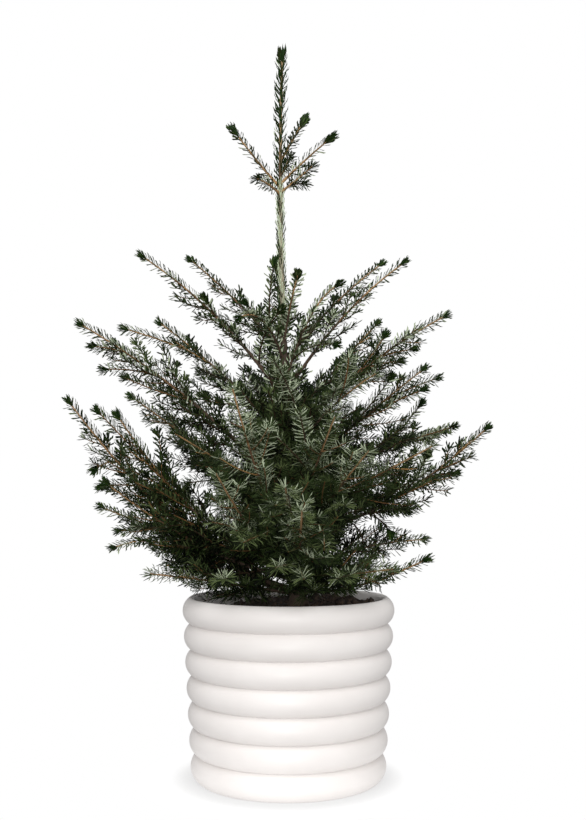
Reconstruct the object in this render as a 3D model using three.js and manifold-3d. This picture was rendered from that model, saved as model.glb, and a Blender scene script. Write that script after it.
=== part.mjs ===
// A young Serbian spruce in a white ribbed planter: pot, soil, trunk, main boughs and masses of sprays.
// Millimetres, +Z up. The origin is the middle of the pot's underside.
// +X is the viewer's right and +Y points away from the viewer.
import * as THREE from "three";
import { mergeVertices } from "three/addons/utils/BufferGeometryUtils.js";
import Module from "manifold-3d";

const wasm = await Module();
wasm.setup();

const UP = new THREE.Vector3(0, 0, 1);
const GAP = 0.3; // left between pieces that meet
const MERGED = 1e-4; // corners nearer than this are one
const SEED = 11; // of every seeded choice below

// Pot: a stack of equal round rings, a little narrower at the foot
const POT_RADIUS = 150; // over the top ring
const POT_FOOT_RADIUS = 137; // over the bottom ring
const POT_HEIGHT = 250;
const RING_COUNT = 7;
const RING_DEPTH = 10; // from a ring's crest in to the groove
const RING_HALF_ARC = 58; // degrees of section from a ring's crest to the groove
const RING_STEPS = 4; // straight pieces in one ring's section
const RIM_INNER_RADIUS = 133;
const RIM_DROP = 5; // from the rim's top down to its inner edge
const FLOOR_RADIUS = 119;
const FLOOR_THICKNESS = 11;
const ROUND_SIDES = 36; // of the pot and the soil

// Soil: fills the pot to just under the rim, lumpy but flat round the trunk
const SOIL_HEIGHT = 238;
const SOIL_LUMP = 5; // greatest rise or fall of a lump
const SOIL_FLAT_RADIUS = 30;
const SOIL_RINGS = 5; // of lumps, from the flat middle to the wall

// Trunk: leans to the left as it rises, with a flare at the soil
const TRUNK_FOOT = new THREE.Vector3(14, 0, SOIL_HEIGHT);
const TRUNK_BEND = new THREE.Vector3(-21, 0, 700);
const TREE_TOP = new THREE.Vector3(-9.5, 0, 1047); // where the last needles leave the leading shoot
const TRUNK_TOP_HEIGHT = 905; // where the leading shoot goes on
const TRUNK_FOOT_RADIUS = 11;
const TRUNK_TIP_RADIUS = 2;
const TRUNK_TAPER = 1.8; // above 1 the trunk thins faster near the foot
const FLARE_RADIUS = 5;
const FLARE_HEIGHT = 12;
const TRUNK_FOOT_SPARE = 3; // length below the soil that the level cut takes off
const TRUNK_SIDES = 10;
const TRUNK_STEPS = 18;

// Boughs: bent limbs, thicker where they are longer
const BEND_SHARE = 0.45; // of the reach, over which a bough holds the angle at which it left the trunk
const LIMB_THICKNESS = 0.011; // root radius as a share of a bough's length
const LIMB_LEAST_RADIUS = 2.2;
const LIMB_SIDES = 6;
const LIMB_STEPS = 4;

// Side twigs of a mass: alternate along the stem, hang a little below it and bend towards its tip
const TWIG_START = 24; // from the end of a bough's own limb to the first twig
const SHADED_LENGTH = 55; // beside the trunk, where a stem that starts there has no twigs
const TWIG_STEP = 40;
const LEADING_SHOOT = 66; // end of a stem that has no twigs
// Twig's length as a share of the stem beyond it: the upper boughs are slim
const TWIG_SHARE = { crown: 0.3, high: 0.32, middle: 0.46, low: 0.52, foot: 0.44 };
const TWIG_SHARE_SPREAD = 0.25; // how much that share varies
const TWIG_LONGEST = 110;
const TWIG_SHORTENED = [1, 0.75, 0.5]; // lengths tried in turn where room is short
const TWIG_SPREAD = [32, 52]; // degrees between stem and twig
const TWIG_DROOP = [-10, 60]; // degrees below the level of the stem's sides
const TWIG_BEND = 0.7; // how strongly a twig turns to the stem's own direction
const TWIG_THICKNESS = 0.75; // of the stem's root radius
const TWIG_CLEARANCE = 6; // from any other limb

// Needles: one on each face of a slim three-sided core, larger than life
const CORE_SIDES = 3;
const CORE_TIP_RADIUS = 1.7;
const CORE_TURN = 47; // degrees that the core turns from one ring to the next
const NEEDLE_STEP = 24; // along the core
const NEEDLE_LENGTH = 23;
const NEEDLE_LENGTH_SPREAD = 0.2;
const NEEDLE_LEAN = 46; // degrees between needle and core
const TUFT_LEAN = 24; // the same in the tuft at a shoot's tip, and all along the leading shoot
const NEEDLE_START = 14; // from a core's root to its first needle
const TUFT_LENGTH = 8; // of the bud beyond the last needles
const NEEDLE_CLEARANCE = 2.5; // from the middle between two masses
const POT_CLEARANCE = 3; // of twigs and needles from the pot and the soil

// Every bough: the height at which it leaves the trunk, its bearing (0 right, 90 away, 180 left),
// the reach and height of its tip, and the angle in degrees at which it leaves the trunk.
// One with a limb of its own is bare for that share of its length.
// The others carry needles from the trunk outwards. A bough may have its own share for its twigs' length.
const WHORLS = {
  crown: {
    left: { height: 845, bearing: 172, reach: 70, tip: 935, leave: 48 },
    right: { height: 850, bearing: 350, reach: 75, tip: 915, leave: 45 },
    back_right: { height: 885, bearing: 46, reach: 50, tip: 960, leave: 55 },
    front_left: { height: 835, bearing: 233, reach: 55, tip: 845, leave: 22 },
    front_right: { height: 838, bearing: 328, reach: 55, tip: 868, leave: 25 },
    back: { height: 862, bearing: 72, reach: 48, tip: 908, leave: 42 },
  },
  high: {
    left: { height: 530, bearing: 183, reach: 210, tip: 740, leave: 55, bare: 0.24 },
    back_left: { height: 600, bearing: 151, reach: 165, tip: 755, leave: 48 },
    right: { height: 540, bearing: 3, reach: 175, tip: 735, leave: 58, bare: 0.24 },
    back_right: { height: 585, bearing: 35, reach: 185, tip: 755, leave: 50 },
    front_right: { height: 555, bearing: 316, reach: 105, tip: 685, leave: 68 },
    front: { height: 610, bearing: 287, reach: 70, tip: 700, leave: 62 },
    back: { height: 565, bearing: 96, reach: 145, tip: 760, leave: 55 },
    front_left: { height: 585, bearing: 244, reach: 135, tip: 630, leave: 52 },
  },
  middle: {
    left: { height: 390, bearing: 182, reach: 305, tip: 640, leave: 48, bare: 0.25 },
    back_left: { height: 475, bearing: 155, reach: 220, tip: 660, leave: 45, bare: 0.24 },
    right: { height: 475, bearing: 2, reach: 230, tip: 655, leave: 47, bare: 0.24 },
    back_right: { height: 490, bearing: 43, reach: 195, tip: 665, leave: 45 },
    front_left: { height: 316, bearing: 250, reach: 225, tip: 525, leave: 20 },
    front: { height: 352, bearing: 284, reach: 215, tip: 490, leave: 32 },
    front_right: { height: 445, bearing: 315, reach: 165, tip: 555, leave: 46 },
    back: { height: 450, bearing: 99, reach: 220, tip: 650, leave: 42 },
    right_lower: { height: 415, bearing: 19, reach: 215, tip: 585, leave: 40, bare: 0.24 },
  },
  low: {
    left: { height: 300, bearing: 189, reach: 254, tip: 506, leave: -2, bare: 0.25 },
    back_left: { height: 345, bearing: 150, reach: 298, tip: 550, leave: 39, bare: 0.25, twigs: 0.42 },
    right: { height: 340, bearing: 2, reach: 282, tip: 491, leave: 4, bare: 0.25 },
    back_right: { height: 385, bearing: 32, reach: 290, tip: 495, leave: 32, bare: 0.25 },
    front_left: { height: 296, bearing: 246, reach: 240, tip: 420, leave: 6 },
    front: { height: 338, bearing: 268, reach: 268, tip: 402, leave: 8 },
    front_right: { height: 320, bearing: 300, reach: 190, tip: 450, leave: 36 },
    back: { height: 370, bearing: 92, reach: 265, tip: 500, leave: 32 },
    right_front: { height: 360, bearing: 335, reach: 210, tip: 460, leave: 24 },
    left_front: { height: 365, bearing: 217, reach: 195, tip: 475, leave: 34 },
  },
  foot: {
    left: { height: 258, bearing: 177, reach: 335, tip: 530, leave: 12, bare: 0.27, twigs: 0.32 },
    left_lower: { height: 274, bearing: 194, reach: 270, tip: 410, leave: 10 },
    back_left: { height: 284, bearing: 163, reach: 310, tip: 375, leave: 14, bare: 0.27 },
    left_back: { height: 250, bearing: 142, reach: 290, tip: 310, leave: 12 },
    right: { height: 256, bearing: 346, reach: 184, tip: 305, leave: -2 },
    back_right: { height: 282, bearing: 32, reach: 235, tip: 325, leave: 22 },
    front_left: { height: 252, bearing: 210, reach: 225, tip: 290, leave: 12 },
    front: { height: 264, bearing: 271, reach: 268, tip: 375, leave: 20 },
    front_right: { height: 260, bearing: 305, reach: 210, tip: 300, leave: 16 },
    back: { height: 266, bearing: 89, reach: 250, tip: 325, leave: 14 },
  },
};

const COLOURS = {
  pot: new THREE.MeshStandardMaterial({ color: 0xefeceb, roughness: 0.3 }),
  soil: new THREE.MeshStandardMaterial({ color: 0x2a211b, roughness: 0.95 }),
  bark: new THREE.MeshStandardMaterial({ color: 0x77573e, roughness: 0.85 }),
  needles: new THREE.MeshStandardMaterial({ color: 0x3c4c3a, roughness: 0.6 }),
};

/** Number from 0 to 1 that is always the same for the same seed and draw. */
function chance(seed, draw) {
  const wave = Math.sin(seed * 127.1 + draw * 311.7) * 43758.5453;
  return wave - Math.floor(wave);
}

/** Seeded value between the two ends of a range. */
function pick([least, most], seed, draw) {
  return THREE.MathUtils.lerp(least, most, chance(seed, draw));
}

/** Part of a curve between two of its parameters. */
class Stretch extends THREE.Curve {
  constructor(whole, from, to) {
    super();
    Object.assign(this, { whole, from, to });
  }

  getPoint(t, target = new THREE.Vector3()) {
    return this.whole.getPoint(THREE.MathUtils.lerp(this.from, this.to, t), target);
  }
}

/** Closed solid of a three.js geometry. */
function solidOf(geometry) {
  const bare = new THREE.BufferGeometry();
  bare.setAttribute("position", geometry.getAttribute("position"));
  bare.setIndex(geometry.getIndex());
  const merged = mergeVertices(bare, MERGED);
  const corners = merged.getIndex().array;
  const kept = [];
  for (let i = 0; i < corners.length; i += 3) {
    const [a, b, c] = corners.slice(i, i + 3);
    if (a !== b && b !== c && c !== a) kept.push(a, b, c);
  }
  const mesh = new wasm.Mesh({
    numProp: 3,
    vertProperties: merged.getAttribute("position").array,
    triVerts: new Uint32Array(kept),
  });
  return new wasm.Manifold(mesh);
}

/** Named mesh of a solid, without the scraps and sealed hollows that fusing may leave. */
function meshOf(name, solid, material) {
  const [body] = solid.decompose().sort((a, b) => b.volume() - a.volume());
  const { vertProperties, triVerts } = body.getMesh();
  const geometry = new THREE.BufferGeometry();
  geometry.setAttribute("position", new THREE.BufferAttribute(vertProperties, 3));
  geometry.setIndex(new THREE.BufferAttribute(triVerts, 1));
  geometry.computeVertexNormals();
  const mesh = new THREE.Mesh(geometry, material);
  mesh.name = name;
  return mesh;
}

/** Geometry of a profile of [radius, height] points turned round the pot's axis. */
function turned(profile) {
  const points = profile.map(([radius, height]) => new THREE.Vector2(radius, height));
  return new THREE.LatheGeometry(points, ROUND_SIDES).rotateX(Math.PI / 2);
}

/** Radius of the pot's inner wall, a plain cone, at a height. */
function wallRadius(height) {
  const share = (height - FLOOR_THICKNESS) / (POT_HEIGHT - RIM_DROP - FLOOR_THICKNESS);
  return THREE.MathUtils.lerp(FLOOR_RADIUS, RIM_INNER_RADIUS, share);
}

/** Pot: ring after ring up the outside, over the rim and down the plain inside. */
function pot() {
  const pitch = POT_HEIGHT / RING_COUNT;
  const halfArc = THREE.MathUtils.degToRad(RING_HALF_ARC);
  const profile = [[0, 0]];
  for (let ring = 0; ring < RING_COUNT; ring++) {
    const crest = THREE.MathUtils.lerp(POT_FOOT_RADIUS, POT_RADIUS, ring / (RING_COUNT - 1));
    const first = ring === 0 ? 0 : 1;
    for (let step = first; step <= RING_STEPS; step++) {
      const turn = THREE.MathUtils.lerp(-halfArc, halfArc, step / RING_STEPS);
      const depth = (RING_DEPTH * (1 - Math.cos(turn))) / (1 - Math.cos(halfArc));
      const height = pitch * (ring + 0.5 + (0.5 * Math.sin(turn)) / Math.sin(halfArc));
      profile.push([crest - depth, height]);
    }
  }
  profile.push([RIM_INNER_RADIUS, POT_HEIGHT - RIM_DROP]);
  profile.push([FLOOR_RADIUS, FLOOR_THICKNESS], [0, FLOOR_THICKNESS]);
  return solidOf(turned(profile));
}

/** Soil: the inside of the pot up to a lumpy top. */
function soil() {
  const edge = wallRadius(SOIL_HEIGHT) - GAP;
  const profile = [[0, FLOOR_THICKNESS + GAP]];
  profile.push([wallRadius(FLOOR_THICKNESS + GAP) - GAP, FLOOR_THICKNESS + GAP]);
  for (let ring = SOIL_RINGS; ring >= 0; ring--) {
    profile.push([THREE.MathUtils.lerp(SOIL_FLAT_RADIUS, edge, ring / SOIL_RINGS), SOIL_HEIGHT]);
  }
  profile.push([0, SOIL_HEIGHT]);
  const geometry = turned(profile);
  const position = geometry.getAttribute("position");
  for (let i = 0; i < position.count; i++) {
    const ring = profile.length - 2 - (i % profile.length); // 0 round the flat middle, the last at the wall
    const side = Math.floor(i / profile.length) % ROUND_SIDES;
    const lump = pick([-SOIL_LUMP, SOIL_LUMP], SEED + ring, side);
    if (ring > 0 && ring < SOIL_RINGS) position.setZ(i, SOIL_HEIGHT + lump);
  }
  return solidOf(geometry);
}

const TRUNK_PATH = new THREE.QuadraticBezierCurve3(TRUNK_FOOT, TRUNK_BEND, TREE_TOP);

/** Parameter at which the trunk's path has a height. */
function trunkParameter(height) {
  const rise = TRUNK_BEND.z - TRUNK_FOOT.z;
  const change = TREE_TOP.z - 2 * TRUNK_BEND.z + TRUNK_FOOT.z;
  const root = Math.sqrt(rise * rise + change * (height - TRUNK_FOOT.z));
  return (height - TRUNK_FOOT.z) / (rise + root);
}

/** Radius of the trunk at a height: a taper that slows towards the tip, and the flare at the soil. */
function trunkRadius(height) {
  const rise = (height - TRUNK_FOOT.z) / (TREE_TOP.z - TRUNK_FOOT.z);
  const taper = (TRUNK_FOOT_RADIUS - TRUNK_TIP_RADIUS) * (1 - rise) ** TRUNK_TAPER;
  const flare = FLARE_RADIUS * Math.exp((TRUNK_FOOT.z - height) / FLARE_HEIGHT);
  return TRUNK_TIP_RADIUS + taper + flare;
}

/** Rings of points round a path, each turned a little further than the last. */
function rings(path, steps, sides, turn, radiusAt) {
  const { normals, binormals } = path.computeFrenetFrames(steps);
  return Array.from({ length: steps + 1 }, (_, step) => {
    const centre = path.getPointAt(step / steps);
    const radius = radiusAt(step / steps, centre);
    return Array.from({ length: sides }, (_, side) => {
      const angle = (2 * Math.PI * side) / sides + THREE.MathUtils.degToRad(turn * step);
      const point = centre.clone().addScaledVector(normals[step], radius * Math.cos(angle));
      return point.addScaledVector(binormals[step], radius * Math.sin(angle));
    });
  });
}

/** Geometry of triangles that each hold three points. */
function facets(triangles) {
  return new THREE.BufferGeometry().setFromPoints(triangles.flat());
}

/** Limb: a plain tapering tube with flat ends. */
function limb(path, steps, sides, radiusAt) {
  const hoops = rings(path, steps, sides, 0, radiusAt);
  const triangles = [];
  for (let side = 0; side < sides; side++) {
    const next = (side + 1) % sides;
    for (let step = 0; step < steps; step++) {
      const [a, b] = [hoops[step][side], hoops[step][next]];
      const [d, c] = [hoops[step + 1][side], hoops[step + 1][next]];
      triangles.push([a, b, c], [a, c, d]);
    }
    triangles.push([path.getPointAt(0), hoops[0][next], hoops[0][side]]);
    triangles.push([path.getPointAt(1), hoops[steps][side], hoops[steps][next]]);
  }
  return solidOf(facets(triangles));
}

/** Trunk, made wider all round by a margin, and cut level just above the soil. */
function trunk(margin) {
  const foot = trunkParameter(SOIL_HEIGHT - TRUNK_FOOT_SPARE);
  const path = new Stretch(TRUNK_PATH, foot, trunkParameter(TRUNK_TOP_HEIGHT + margin));
  const whole = limb(path, TRUNK_STEPS, TRUNK_SIDES, (_, centre) => trunkRadius(centre.z) + margin);
  return whole.trimByPlane(UP.toArray(), SOIL_HEIGHT + GAP - margin);
}

/** Path of a bough from the trunk's middle to its tip. */
function boughPath({ height, bearing, reach, tip, leave }) {
  const root = TRUNK_PATH.getPoint(trunkParameter(height));
  const angle = THREE.MathUtils.degToRad(bearing);
  const out = new THREE.Vector3(Math.cos(angle), Math.sin(angle), 0);
  const rise = Math.tan(THREE.MathUtils.degToRad(leave));
  const bend = root.clone().addScaledVector(out, BEND_SHARE * reach);
  bend.z += BEND_SHARE * reach * rise;
  const end = root.clone().addScaledVector(out, reach).setZ(tip);
  return new THREE.QuadraticBezierCurve3(root, bend, end);
}

/** Path of one side twig of a mass, the whole of it or a shorter share. */
function twigPath({ stem, seed, firstTwig, twigShare }, index, share) {
  const length = stem.getLength();
  const along = firstTwig + TWIG_STEP * index;
  const root = stem.getPointAt(along / length);
  const ahead = stem.getTangentAt(along / length);
  const across = new THREE.Vector3().crossVectors(ahead, UP).normalize();
  const below = new THREE.Vector3().crossVectors(ahead, across);
  const droop = THREE.MathUtils.degToRad(pick(TWIG_DROOP, seed, 3 * index));
  const spread = THREE.MathUtils.degToRad(pick(TWIG_SPREAD, seed, 3 * index + 1));
  const variety = [1 - TWIG_SHARE_SPREAD, 1 + TWIG_SHARE_SPREAD];
  const full = twigShare * (length - along) * pick(variety, seed, 3 * index + 2);
  const size = share * Math.min(TWIG_LONGEST, full);
  const aside = across.multiplyScalar((index % 2 ? 1 : -1) * Math.cos(droop));
  aside.addScaledVector(below, Math.sin(droop));
  const out = ahead.clone().multiplyScalar(Math.cos(spread)).addScaledVector(aside, Math.sin(spread));
  const on = out.clone().addScaledVector(ahead, TWIG_BEND).normalize();
  const bend = root.clone().addScaledVector(out, size / 2);
  const tip = bend.clone().addScaledVector(on, size / 2);
  return new THREE.QuadraticBezierCurve3(root, bend, tip);
}

/** Number of side twigs that the stem of a mass has room for. */
function twigCount({ stem, firstTwig }) {
  const spare = stem.getLength() - firstTwig - LEADING_SHOOT;
  return Math.max(0, Math.floor(spare / TWIG_STEP) + 1);
}

const limbLines = []; // straight pieces of every limb's path, each with its owner and radius

/** Notes where a limb runs, so that what is made later keeps clear of it. */
function noteLimb(owner, path, radiusAt) {
  const count = Math.max(2, Math.ceil(path.getLength() / NEEDLE_STEP));
  const points = path.getSpacedPoints(count);
  for (let i = 0; i < count; i++) {
    const line = new THREE.Line3(points[i], points[i + 1]);
    limbLines.push({ owner, line, radius: radiusAt(i / count, points[i]) });
  }
}

/** Distances from a point to the owner's own limbs and to the nearest limb of any other. */
function roomAt(point, owner) {
  const nearest = new THREE.Vector3();
  const room = { own: Infinity, other: Infinity };
  for (const { owner: neighbour, radius, line } of limbLines) {
    line.closestPointToPoint(point, true, nearest);
    const key = neighbour === owner ? "own" : "other";
    room[key] = Math.min(room[key], nearest.distanceTo(point) - radius);
  }
  return room;
}

/** Whether a point is clear of the pot and the soil. */
function clearOfPot(point) {
  const radius = Math.hypot(point.x, point.y);
  const ground = radius < wallRadius(SOIL_HEIGHT) - SOIL_LUMP ? SOIL_HEIGHT + SOIL_LUMP : POT_HEIGHT;
  return radius > POT_RADIUS + POT_CLEARANCE || point.z > ground + POT_CLEARANCE;
}

/** Spray: a slim core along a path, a needle drawn out of each face where it fits, and a tip tuft. */
function spray(owner, path, rootRadius, lean, seed) {
  const steps = Math.max(2, Math.round(path.getLength() / NEEDLE_STEP));
  const radiusAt = (share) => THREE.MathUtils.lerp(rootRadius, CORE_TIP_RADIUS, share);
  const hoops = rings(path, steps, CORE_SIDES, CORE_TURN, radiusAt);
  const [first, last] = [hoops[0], hoops[steps]];
  const bud = path.getPointAt(1).addScaledVector(path.getTangentAt(1), TUFT_LENGTH);
  const triangles = [[first[0], first[2], first[1]]];
  for (let side = 0; side < CORE_SIDES; side++) {
    const next = (side + 1) % CORE_SIDES;
    for (let step = 0; step < steps; step++) {
      const face = [hoops[step][side], hoops[step][next], hoops[step + 1][next], hoops[step + 1][side]];
      const share = (step + 0.5) / steps;
      const needle = needleTip(path, face, share, step < steps - 1 ? lean : TUFT_LEAN, seed + side + step);
      if (share * path.getLength() > NEEDLE_START && needleFits(owner, face, needle)) {
        face.forEach((corner, i) => triangles.push([corner, face[(i + 1) % 4], needle]));
      } else {
        triangles.push([face[0], face[1], face[2]], [face[0], face[2], face[3]]);
      }
    }
    triangles.push([last[side], last[next], bud]);
  }
  return solidOf(facets(triangles));
}

/** Tip of the needle on one face of a core: out from the face, and forward along the core. */
function needleTip(path, face, share, lean, seed) {
  const middle = face.reduce((sum, corner) => sum.add(corner), new THREE.Vector3()).divideScalar(4);
  const ahead = path.getTangentAt(share);
  const out = middle.clone().sub(path.getPointAt(share));
  out.addScaledVector(ahead, -out.dot(ahead)).normalize();
  const angle = THREE.MathUtils.degToRad(lean);
  const size = NEEDLE_LENGTH * pick([1 - NEEDLE_LENGTH_SPREAD, 1 + NEEDLE_LENGTH_SPREAD], seed, SEED);
  return middle.addScaledVector(out, size * Math.sin(angle)).addScaledVector(ahead, size * Math.cos(angle));
}

/** Whether a needle stays nearer to its own mass than to any other limb, and clear of the pot. */
function needleFits(owner, face, needle) {
  const samples = face.map((corner) => corner.clone().lerp(needle, 0.5)).concat(needle);
  return samples.every((point) => {
    const { own, other } = roomAt(point, owner);
    return clearOfPot(point) && other > own + NEEDLE_CLEARANCE;
  });
}

/** Plans one mass: its stem from the end of the bough's limb, or from the trunk, to the tip. */
function planMass(row, seed) {
  const path = boughPath(row);
  const length = path.getLength();
  const rootRadius = Math.max(LIMB_LEAST_RADIUS, LIMB_THICKNESS * length);
  const bare = row.bare ?? 0;
  const radiusAt = (share) => THREE.MathUtils.lerp(rootRadius, CORE_TIP_RADIUS, share);
  const stemFrom = row.bare ? path.getUtoTmapping(bare + GAP / length) : 0;
  const stem = new Stretch(path, stemFrom, 1);
  const limbPath = row.bare ? new Stretch(path, 0, path.getUtoTmapping(bare)) : null;
  noteLimb(row.name, path, radiusAt);
  const firstTwig = row.bare ? TWIG_START : SHADED_LENGTH;
  const twigShare = row.twigs ?? TWIG_SHARE[row.tier];
  return { name: row.name, seed, stem, limbPath, bare, radiusAt, firstTwig, twigShare, twigs: [] };
}

/** Gives a mass the side twigs that find room, shortened where they must be. */
function growTwigs(mass) {
  const radius = TWIG_THICKNESS * mass.radiusAt(mass.bare);
  for (let index = 0; index < twigCount(mass); index++) {
    const path = TWIG_SHORTENED.map((share) => twigPath(mass, index, share)).find((twig) => {
      const points = twig.getSpacedPoints(Math.ceil(twig.getLength() / TWIG_CLEARANCE));
      return points.every((point) => {
        const { other } = roomAt(point, mass.name);
        return clearOfPot(point) && other > TWIG_CLEARANCE + radius;
      });
    });
    if (path) {
      mass.twigs.push(path);
      noteLimb(mass.name, path, () => radius);
    }
  }
}

/** Solid of a mass: the sprays of its stem and its twigs fused into one, cut clear of the trunk. */
function massSolid(mass, trunkSpace) {
  const rootRadius = mass.radiusAt(mass.bare);
  const stem = spray(mass.name, mass.stem, rootRadius, NEEDLE_LEAN, mass.seed);
  const whole = mass.twigs.reduce((solid, twig, i) => {
    return solid.add(spray(mass.name, twig, TWIG_THICKNESS * rootRadius, NEEDLE_LEAN, mass.seed + i + 1));
  }, stem);
  return mass.bare ? whole : whole.subtract(trunkSpace);
}

const trunkSpace = trunk(GAP);
const leaderPath = new Stretch(TRUNK_PATH, trunkParameter(TRUNK_TOP_HEIGHT + GAP), 1);
const rows = Object.entries(WHORLS).flatMap(([tier, boughs]) =>
  Object.entries(boughs).map(([side, row]) => ({ name: `${tier}_${side}`, tier, ...row })),
);
noteLimb("trunk", TRUNK_PATH, (_, point) => trunkRadius(point.z));
const masses = rows.map((row, index) => planMass(row, SEED + index));
masses.forEach(growTwigs);

const plant = new THREE.Group();
plant.name = "potted_spruce";
plant.add(meshOf("pot", pot(), COLOURS.pot));
plant.add(meshOf("soil", soil(), COLOURS.soil));
plant.add(meshOf("trunk", trunk(0), COLOURS.bark));
for (const mass of masses) {
  if (mass.limbPath) {
    const radiusAt = (share) => mass.radiusAt(share * mass.bare);
    const bough = limb(mass.limbPath, LIMB_STEPS, LIMB_SIDES, radiusAt).subtract(trunkSpace);
    plant.add(meshOf(`${mass.name}_bough`, bough, COLOURS.bark));
  }
  plant.add(meshOf(`${mass.name}_sprays`, massSolid(mass, trunkSpace), COLOURS.needles));
}
const leader = spray("trunk", leaderPath, trunkRadius(TRUNK_TOP_HEIGHT), TUFT_LEAN, SEED);
plant.add(meshOf("leader_sprays", leader, COLOURS.needles));

export default plant;
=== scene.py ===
"""Looks of a young Serbian spruce in a white ribbed planter.

Sizes are in millimetres, as in the part's source, and become metres when a mesh is made.
The shoots grow on from the trunk and the boughs by the source's own rule, carried to finer twigs.
"""

import logging
import math
from dataclasses import dataclass, field, replace
from enum import Enum, IntEnum

import bpy
import numpy as np
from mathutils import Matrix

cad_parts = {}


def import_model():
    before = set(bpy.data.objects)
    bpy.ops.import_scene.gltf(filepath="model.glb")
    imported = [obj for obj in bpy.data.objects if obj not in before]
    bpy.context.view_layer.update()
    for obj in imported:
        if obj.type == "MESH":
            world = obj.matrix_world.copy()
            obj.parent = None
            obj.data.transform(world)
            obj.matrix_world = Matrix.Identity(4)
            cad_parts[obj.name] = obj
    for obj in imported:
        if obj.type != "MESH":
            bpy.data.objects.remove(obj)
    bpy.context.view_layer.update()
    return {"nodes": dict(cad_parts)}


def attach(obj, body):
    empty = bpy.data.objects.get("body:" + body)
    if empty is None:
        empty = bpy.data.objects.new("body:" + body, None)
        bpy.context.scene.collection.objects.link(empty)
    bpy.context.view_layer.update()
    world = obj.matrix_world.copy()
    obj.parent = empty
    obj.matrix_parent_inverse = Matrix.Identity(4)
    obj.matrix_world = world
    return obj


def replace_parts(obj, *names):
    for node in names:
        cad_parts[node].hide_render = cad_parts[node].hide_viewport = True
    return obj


LOG = logging.getLogger("spruce")
METRES = 0.001
BODY = "root"
SEED = 11
LIMB_BARK_SEED = SEED + 60
BETWEEN_SEED = 400
SIDE_SHOOT_SEED = SEED + 700
INNER_SHOOT_SEED = SEED + 900
TWIG_SEED_STEP = 0.013
TWIGLET_SEED_STEP = 0.37
UP = np.array([0.0, 0.0, 1.0])
RIGHT = np.array([1.0, 0.0, 0.0])
UPRIGHT = 0.97  # rise of a path above which its sides are measured from the right
MIDDLE = np.array(0.6)  # share of a shoot's path that gives its place in the crown
OUTER_SHARE = 0.62  # share of a bough's reach beyond which a shoot is an outer one
PATH_STEPS = np.linspace(0, 1, 65)  # where a path is measured
END_ALLOWANCE = 0.01  # lets a twig stand right at the end of its stretch
FULL_TURN = 2 * math.pi
GOLDEN_SHARE = (math.sqrt(5) - 1) / 2
GOLDEN_TURN = FULL_TURN * GOLDEN_SHARE
STRAY_STEP = 0.7549  # spreads the stray needles evenly along a shoot

Pair = tuple[float, float]
Place = tuple[float, float, float]
Colour = tuple[float, float, float]
Layers = tuple[tuple[int, float, float], ...]


class Slot(Enum):
    """Material slots of the record."""

    POT = "pot"
    SOIL = "soil"
    BARK = "bark"
    NEEDLES = "needles"


class Tier(Enum):
    """Whorls of boughs, from the top down, and the leading shoot above them."""

    LEADER = "leader"
    CROWN = "crown"
    HIGH = "high"
    MIDDLE = "middle"
    LOW = "low"
    FOOT = "foot"


class Order(IntEnum):
    """Orders of shoot: a bough's stem, the twigs on it, and the finer twigs on those."""

    STEM = 0
    TWIG = 1
    TWIGLET = 2


class Draw(IntEnum):
    """Numbers of the seeded draws that are made once for each shoot."""

    RISE = 1
    LENGTH = 2
    WOOD = 5
    TONE = 9
    ROLL = 21


def chance(seed: float, draw: float) -> float:
    """Number from 0 to 1 that is always the same for the same seed and draw."""
    wave = math.sin(seed * 127.1 + draw * 311.7) * 43758.5453
    return wave - math.floor(wave)


def pick(ends: Pair, seed: float, draw: float) -> float:
    """Seeded value between the two ends of a range."""
    return ends[0] + (ends[1] - ends[0]) * chance(seed, draw)


def unit(vectors: np.ndarray) -> np.ndarray:
    """Vectors at length one."""
    return vectors / np.linalg.norm(vectors, axis=-1, keepdims=True)


def circle(sides: int) -> np.ndarray:
    """Angles of evenly spaced places round a circle, in radians."""
    return np.arange(sides) * FULL_TURN / sides


def relief(seed: int, turns: np.ndarray, rises: np.ndarray, waves: int, pitch: float) -> np.ndarray:
    """Seeded bumps over a round surface, from about -1 to 1.

    Args:
        seed: Seed of the bumps.
        turns: Angles round the axis, in radians.
        rises: Distances along the axis.
        waves: Most bumps round the axis.
        pitch: Shortest length of a bump along the axis.

    Returns:
        Height of the bumps at every angle and distance.
    """
    draw = np.random.default_rng(seed)
    total = np.zeros(np.broadcast(turns, rises).shape)
    count = 14
    for _ in range(count):
        around = draw.integers(0, waves + 1)
        along = FULL_TURN / (pitch * draw.uniform(1, 4)) * draw.choice([-1, 1])
        total += np.cos(around * turns + along * rises + draw.uniform(0, FULL_TURN))
    return total / math.sqrt(2 * count)


def layered_relief(seed: int, turns: np.ndarray, rises: np.ndarray, layers: Layers) -> np.ndarray:
    """Several layers of seeded bumps over a round surface.

    Args:
        seed: Seed of the first layer; each of the others has the next one.
        turns: Angles round the axis, in radians.
        rises: Distances along the axis.
        layers: For each layer the most bumps round the axis, their shortest length and their height.

    Returns:
        Height of the bumps at every angle and distance.
    """
    made = [relief(seed + index, turns, rises, *layer[:2]) * layer[2] for index, layer in enumerate(layers)]
    return sum(made)


class Field:
    """Output of a shader node. Arithmetic on it adds Math nodes."""

    def __init__(self, shader: "Shader", socket: bpy.types.NodeSocket) -> None:
        """Keeps the socket and the shader that it belongs to."""
        self.shader = shader
        self.socket = socket

    def __add__(self, other: "Field | float") -> "Field":
        """Sum."""
        return self.shader.math("ADD", self, other)

    def __radd__(self, other: float) -> "Field":
        """Sum that starts with a number."""
        return self.shader.math("ADD", other, self)

    def __mul__(self, other: "Field | float") -> "Field":
        """Product."""
        return self.shader.math("MULTIPLY", self, other)

    def __rmul__(self, other: float) -> "Field":
        """Product that starts with a number."""
        return self.shader.math("MULTIPLY", other, self)


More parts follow.
